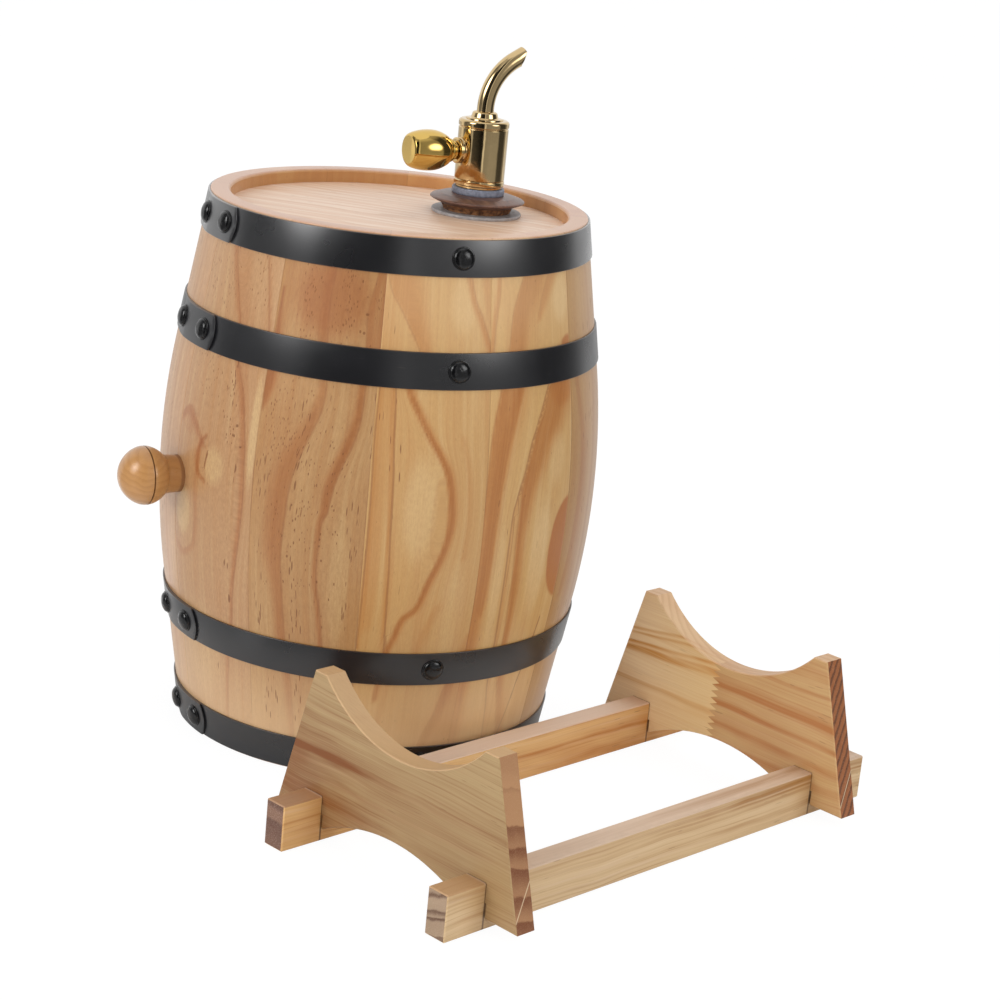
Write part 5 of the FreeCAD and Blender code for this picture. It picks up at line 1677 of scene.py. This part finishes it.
def sawn_finish(name, along, front, pale, warm, figure, rings, ends, pale_wood_and_top_light, tilt, period, warmer,
                second=None, nose=None):
    """front: where the front face lies across the board.  pale, warm: early and late wood.  figure,
    rings: (place, level) points up the face and over one period of the rings.  ends: light and
    dark bands.  pale_wood_and_top_light: pale wood for streaks and pores, and the colour of the upper
    faces, which is partly painted light from above; nose: the same on the near stub of a rail.
    tilt: rise of the rings over the thickness.  warmer: lengths between which the late wood grows
    to full.  second: (joint, pale, warm, figure) of a second piece."""
    plank = Plank(name, along, front)
    wood = plank.wood
    colour, late = plank.face(pale, warm, figure, warmer)
    if second:
        colour = plank.second_piece(colour, *second)
    colour = wood.mix(plank.broad.ramp(0.50, 0.75) * 0.20, colour, pale_wood_and_top_light)
    colour = wood.mix((1 - plank.hair) * 0.22, colour, "A87A48", "MULTIPLY")
    flecks = resin_flecks(wood, plank.board, plank.fine.ramp(0.4, 0.7) * 0.22, (0.95, 0.11, 0.9))
    colour = wood.mix(flecks * 0.40, colour, "7A5230")
    facing = wood.split(wood.node("ShaderNodeNewGeometry")[1])
    wave = wood.grain(plank.place, (0.22, 0.22, 0.16), 2.0)
    year = ((plank.z - plank.into * tilt + (wave - 0.5) * 3.0) / period).part()
    band = wood.profile(year, rings)
    # Painted light: the upper faces get a paler, pinker colour, partly the edge grain's own and partly
    # light from above.
    above = wood.mix(band * 0.30, pale_wood_and_top_light, ends[0])
    if nose:
        above = wood.mix((1 - plank.length.ramp(NEAR_X - 2.0, NEAR_X)) * 0.8, above, nose)
    colour = wood.mix(facing[2].ramp(0.25, 0.55) * (0.85 - late * 0.45), colour, above)
    is_end = facing[along].size().ramp(0.88, 0.94)
    colour = plank.end(colour, is_end, band, ends, pale_wood_and_top_light)
    if along == ALONG_X:
        colour = plank.plate_gaps(colour, warm)
    wood.set(Base_Color=colour, Roughness=0.50 + (plank.hair - 0.5) * 0.16 + is_end * 0.1,
             Normal=wood.bump(plank.hair * 0.6 + late * 0.2 - flecks, 0.06 * MM, 0.6))
    return wood


NEAR_X, FAR_X = (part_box(name)[0].x / MM for name in ("near_cradle_plate", "far_cradle_plate"))
FRONT_Y, REAR_Y = (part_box(name)[0].y / MM for name in ("front_rail", "rear_rail"))
JOINT_Y = (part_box("far_cradle_plate")[0].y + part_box("far_cradle_plate")[1].y) / 2 / MM + 4.0
FINGER_PITCH, FINGER_LENGTH = 3.4, 9.0
NEAR_FIGURE = [(-4, 0.6), (14, 0.6), (20, 0.85), (24, 0.6), (31, 0.65), (37, 0.75), (40, 1.1),
               (42, 1.0), (44, 0.5), (50, 0.4), (55, 0.3), (57, 0.45), (61, 0.15), (80, 0.1),
               (95, 0.1)]
NEAR_RINGS = [(0.0, 0.6), (0.105, 1.0), (0.112, 0.35), (0.205, 1.0), (0.215, 0.45), (0.322, 1.0),
              (0.33, 0.4), (0.405, 1.0), (0.415, 0.45), (0.495, 0.9), (0.503, 0.15), (0.62, 0.2),
              (0.645, 0.4), (0.652, 0.1), (0.75, 0.3), (1.0, 0.3)]
FAR_FIGURE = [(-4, 0.3), (13, 0.3), (17, 0.8), (19, 0.3), (22, 0.3), (25, 0.8), (28, 0.35),
              (33, 0.2), (35, 1.0), (38, 0.4), (43, 0.3), (45.5, 1.1), (48, 0.5), (53, 0.2),
              (58, 0.25), (59.5, 0.7), (61, 0.2), (70, 0.4), (78, 0.2), (95, 0.4)]
LEFT_FIGURE = [(-4, 0.4), (20, 0.2), (26, 0.3), (30, 0.65), (32, 0.2), (44, 0.1), (48, 0.25),
               (50, 0.9), (52.5, 0.95), (54, 0.4), (56, 1.1), (57.5, 0.2), (61, 0.3), (62.5, 0.8),
               (64, 0.2), (66, 0.8), (67.5, 0.15), (75, 0.1), (95, 0.3)]
FAR_RINGS = [(0.0, 0.15), (0.30, 0.25), (0.55, 0.95), (0.72, 1.0), (0.86, 0.2), (1.0, 0.15)]
FRONT_FIGURE = [(-4, 0.1), (5, 0.15), (7.5, 0.55), (9, 0.2), (12, 0.1), (14.3, 0.6), (15.2, 0.3),
                (16.4, 0.9), (17.2, 0.4), (18.6, 1.1), (20, 0.7), (21.5, 0.4), (24, 0.2),
                (26, 0.75), (29, 0.9), (32, 0.5), (36, 0.3)]
FRONT_RINGS = [(0.0, 0.9), (0.10, 0.75), (0.13, 0.2), (0.34, 0.25), (0.40, 1.0), (0.43, 0.3),
               (0.52, 0.9), (0.56, 0.2), (0.72, 0.15), (0.80, 0.9), (0.86, 0.3), (1.0, 0.3)]
REAR_FIGURE = [(-4, 0.4), (4, 0.7), (8, 0.5), (11, 0.6), (12.8, 1.1), (14, 0.5), (17, 0.3),
               (20, 0.2), (21.5, 0.6), (23, 0.2), (28, 0.2), (36, 0.5)]
REAR_RINGS = [(0.0, 0.7), (0.30, 0.9), (0.45, 1.0), (0.50, 0.4), (0.66, 0.35), (0.74, 0.9),
              (0.90, 0.8), (1.0, 0.7)]
CRADLE_WOOD = {
    "near_cradle_plate": sawn_finish(
        "pine_near_plate", ALONG_Y, NEAR_X, "B1966A", "80491A", NEAR_FIGURE, NEAR_RINGS,
        ("B4865C", "74401F"), "C8A47A", -0.2, 100.0, (-185.0, -85.0)),
    "far_cradle_plate": sawn_finish(
        "pine_far_plate", ALONG_Y, FAR_X, "CDAB78", "B47844", FAR_FIGURE, FAR_RINGS,
        ("9E5C2E", "5E3216"), "D6B18C", 1.4, 6.2, (-280.0, -240.0),
        # The second piece's paler wood is partly its own and partly painted light against the cask's
        # shadow.
        (JOINT_Y, "E6CB97", "CF9550", LEFT_FIGURE)),
    "front_rail": sawn_finish(
        "pine_front_rail", ALONG_X, FRONT_Y, "D9BD92", "A6773F", FRONT_FIGURE, FRONT_RINGS,
        ("AD9378", "5F402C"), "E0C6B2", -0.35, 27.0, (-60.0, 70.0), nose="AE7E48"),
    "rear_rail": sawn_finish(
        "pine_rear_rail", ALONG_X, REAR_Y, "E8BE80", "BE7C38", REAR_FIGURE, REAR_RINGS,
        ("8E6A54", "5E3C2E"), "F8E0CE", 0.0, 27.0, (-60.0, 70.0), nose="8C5C38"),
}
for name, finish in CRADLE_WOOD.items():
    paint(NODES[name], finish)
print("cradle boards:", sorted(CRADLE_WOOD))

# %% [markdown]
# ## Floor, light and a dark sheet
# A white sweep makes the background, lit well past its own shadow.  The light is plain: big soft
# lamps left and right, and a bright even world.  A polished tap in a white room would look like
# milk, so it gets a dark sheet to mirror.  The sheet is seen by reflections only, and it colours
# nothing else.

# %% Lay the floor and hang the lights
FLOOR_REACH = 16.0
FLOOR_DROP = 0.0002
FLOOR_SHADES = (0.93, 0.93, 0.93, 1.0), (0.97, 0.97, 0.97, 1.0)
FLOOR_GLOW = 1.046
FLOOR_GLOW_SHARE = 0.90
WORLD_WHITE = 1.02
WORLD_LEVEL = 0.62
LAMP_AIM = np.array([0.0, -0.05, 0.15])


def make_floor():
    """Flat grid a little below the foot of the object."""
    t = np.linspace(-FLOOR_REACH, FLOOR_REACH, 13)
    x, y = np.meshgrid(t, t, indexing="ij")
    floor = skin("floor", np.stack([x, y, np.full_like(x, -FLOOR_DROP)], axis=-1))
    sheet = Finish("white_sweep")
    cloud = sheet.noise(sheet.place(), 2.0, 2.0)
    sheet.set(Base_Color=sheet.mix(cloud, *FLOOR_SHADES), Roughness=0.9)
    seen = sheet.node("ShaderNodeLightPath")
    glow = sheet.node("ShaderNodeEmission", None, {"Color": (1, 1, 1, 1), "Strength": FLOOR_GLOW})[0]
    blend = sheet.node("ShaderNodeMixShader", None, {0: seen[0] * FLOOR_GLOW_SHARE})[0]
    mixer = blend.socket.node
    sheet.tree.links.new(sheet.shader.outputs[0], mixer.inputs[1])
    sheet.tree.links.new(glow.socket, mixer.inputs[2])
    sheet.tree.links.new(mixer.outputs[0], sheet.tree.nodes["Material Output"].inputs[0])
    paint(floor, sheet)
    return floor


def make_world():
    """White where the camera, a reflection or a view through something meets it, and a plain
    grey level for the light that it sheds."""
    world = bpy.data.worlds.new("studio")
    world.use_nodes = True
    tree = world.node_tree
    back = tree.nodes["Background"]
    seen = tree.nodes.new("ShaderNodeLightPath")
    rays = [seen.outputs[k] for k in ("Is Camera Ray", "Is Glossy Ray", "Is Transmission Ray")]
    total = rays[0]
    for ray in rays[1:]:
        add = tree.nodes.new("ShaderNodeMath")
        add.operation = "MAXIMUM"
        tree.links.new(total, add.inputs[0])
        tree.links.new(ray, add.inputs[1])
        total = add.outputs[0]
    level = tree.nodes.new("ShaderNodeMapRange")
    level.inputs["To Min"].default_value = WORLD_LEVEL
    level.inputs["To Max"].default_value = WORLD_WHITE
    tree.links.new(total, level.inputs["Value"])
    tree.links.new(level.outputs[0], back.inputs["Strength"])
    back.inputs["Color"].default_value = (1, 1, 1, 1)
    bpy.context.scene.world = world


def make_lamp(name, azimuth, elevation, distance, size, power):
    """Square soft lamp on a sphere round the cask's middle, turned towards it.  Azimuth is
    counted from the camera's side, to the right.  Mirrors see the sheet's spots instead of it."""
    turn = math.pi + YAW + math.radians(azimuth)
    rise = math.radians(elevation)
    away = np.array([math.cos(rise) * math.cos(turn), math.cos(rise) * math.sin(turn),
                     math.sin(rise)])
    data = bpy.data.lights.new(name, "AREA")
    data.size = size
    data.energy = power
    lamp = bpy.data.objects.new(name, data)
    side = np.cross(UP, away)
    side /= np.linalg.norm(side)
    matrix = np.eye(4)
    matrix[:3, :3] = np.stack([side, np.cross(away, side), away], axis=1)
    matrix[:3, 3] = away * distance + LAMP_AIM
    lamp.matrix_world = Matrix(matrix.tolist())
    lamp.visible_glossy = False
    bpy.context.scene.collection.objects.link(lamp)
    return lamp


# How bright the sheet is round the tap: (azimuth from the camera's side, level) in turn.
SHEET_LEVELS = np.array([(-118, 1.0), (-104, 0.85), (-98, 0.20), (-84, 0.16), (-78, 0.24),
                         (-56, 0.18), (-52, 0.60), (-48, 0.60), (-43, 0.06), (-24, 0.035),
                         (-8, 0.008), (4, 0.004), (8, 0.9), (11, 0.9), (15, 0.30), (40, 0.36),
                         (76, 0.34), (84, 0.05), (112, 0.05), (126, 0.3), (134, 1.0)])
# Soft bright spots on it: (azimuth, elevation, half widths of both, level).
SHEET_SPOTS = [(-54, 27, 14, 16, 7.5), (60, 22, 16, 15, 3.8), (-30, 56, 9, 8, 0.8)]


def make_sheet(distance=2.4):
    """Part of a sphere round the tap, seen only by reflections: reach x (cos e cos a, cos e sin a,
    sin e), where reach is the distance, or less where the sheet would go through the floor, so
    that its lower part lies flat on it.  Its level follows the table along the azimuth, and gets
    lighter towards the ceiling and the floor."""
    azimuth = np.linspace(SHEET_LEVELS[0, 0], SHEET_LEVELS[-1, 0], 254)[:, None]
    degrees = np.linspace(-52, 72, 60)[None, :]
    a, e = math.pi + YAW + np.radians(azimuth), np.radians(degrees)
    drop = np.clip(-np.sin(e), 1e-6, None)
    reach = np.minimum(distance, (VALVE_LEVEL - 0.001) / drop)[..., None]
    away = [np.cos(e) * np.cos(a), np.cos(e) * np.sin(a), np.sin(e) + 0 * a]
    middle = np.array([TAP_FOOT[0], TAP_FOOT[1], VALVE_LEVEL])
    sheet = skin("dark_sheet", reach * np.stack(away, axis=-1) + middle)
    level = np.interp(azimuth, SHEET_LEVELS[:, 0], SHEET_LEVELS[:, 1])
    level = level + (0.42 - 0.3 * level) * soft_step(50, 70, degrees)
    level = level + 0.40 * soft_step(-24, -40, degrees)
    for a0, e0, wide, tall, strength in SHEET_SPOTS:
        away = np.hypot((azimuth - a0) / wide, (degrees - e0) / tall)
        level = level + strength * np.exp(-away ** 4)
    keep_field(sheet.data, "level", level.ravel())
    felt = Finish("sheet_felt")
    cloud = felt.noise(felt.place(), 3.0, 2.0)
    glow = felt.number("level") * (0.9 + cloud * 0.2)
    felt.set(Base_Color=(0, 0, 0, 1), Roughness=1.0, Emission_Strength=1.0,
             Emission_Color=felt.join(glow, glow, glow))
    paint(sheet, felt)
    for flag in ("visible_camera", "visible_diffuse", "visible_shadow", "visible_transmission",
                 "visible_volume_scatter"):
        setattr(sheet, flag, False)
    return sheet


make_floor()
make_world()
LAMPS = [("key", -51, 22, 1.6, 1.0, 9.5), ("fill", 55, 26, 1.8, 1.0, 4.5),
         ("low_fill", 38, 11, 1.9, 0.7, 3), ("top", 150, 66, 1.7, 1.2, 6),
         ("low_front", -28, 4, 1.7, 0.5, 2.5)]
for lamp in LAMPS:
    make_lamp(*lamp)
make_sheet()
print("stage set with", len(LAMPS), "lamps")

# %% [markdown]
# ## The end

# %% End
print("scene built")
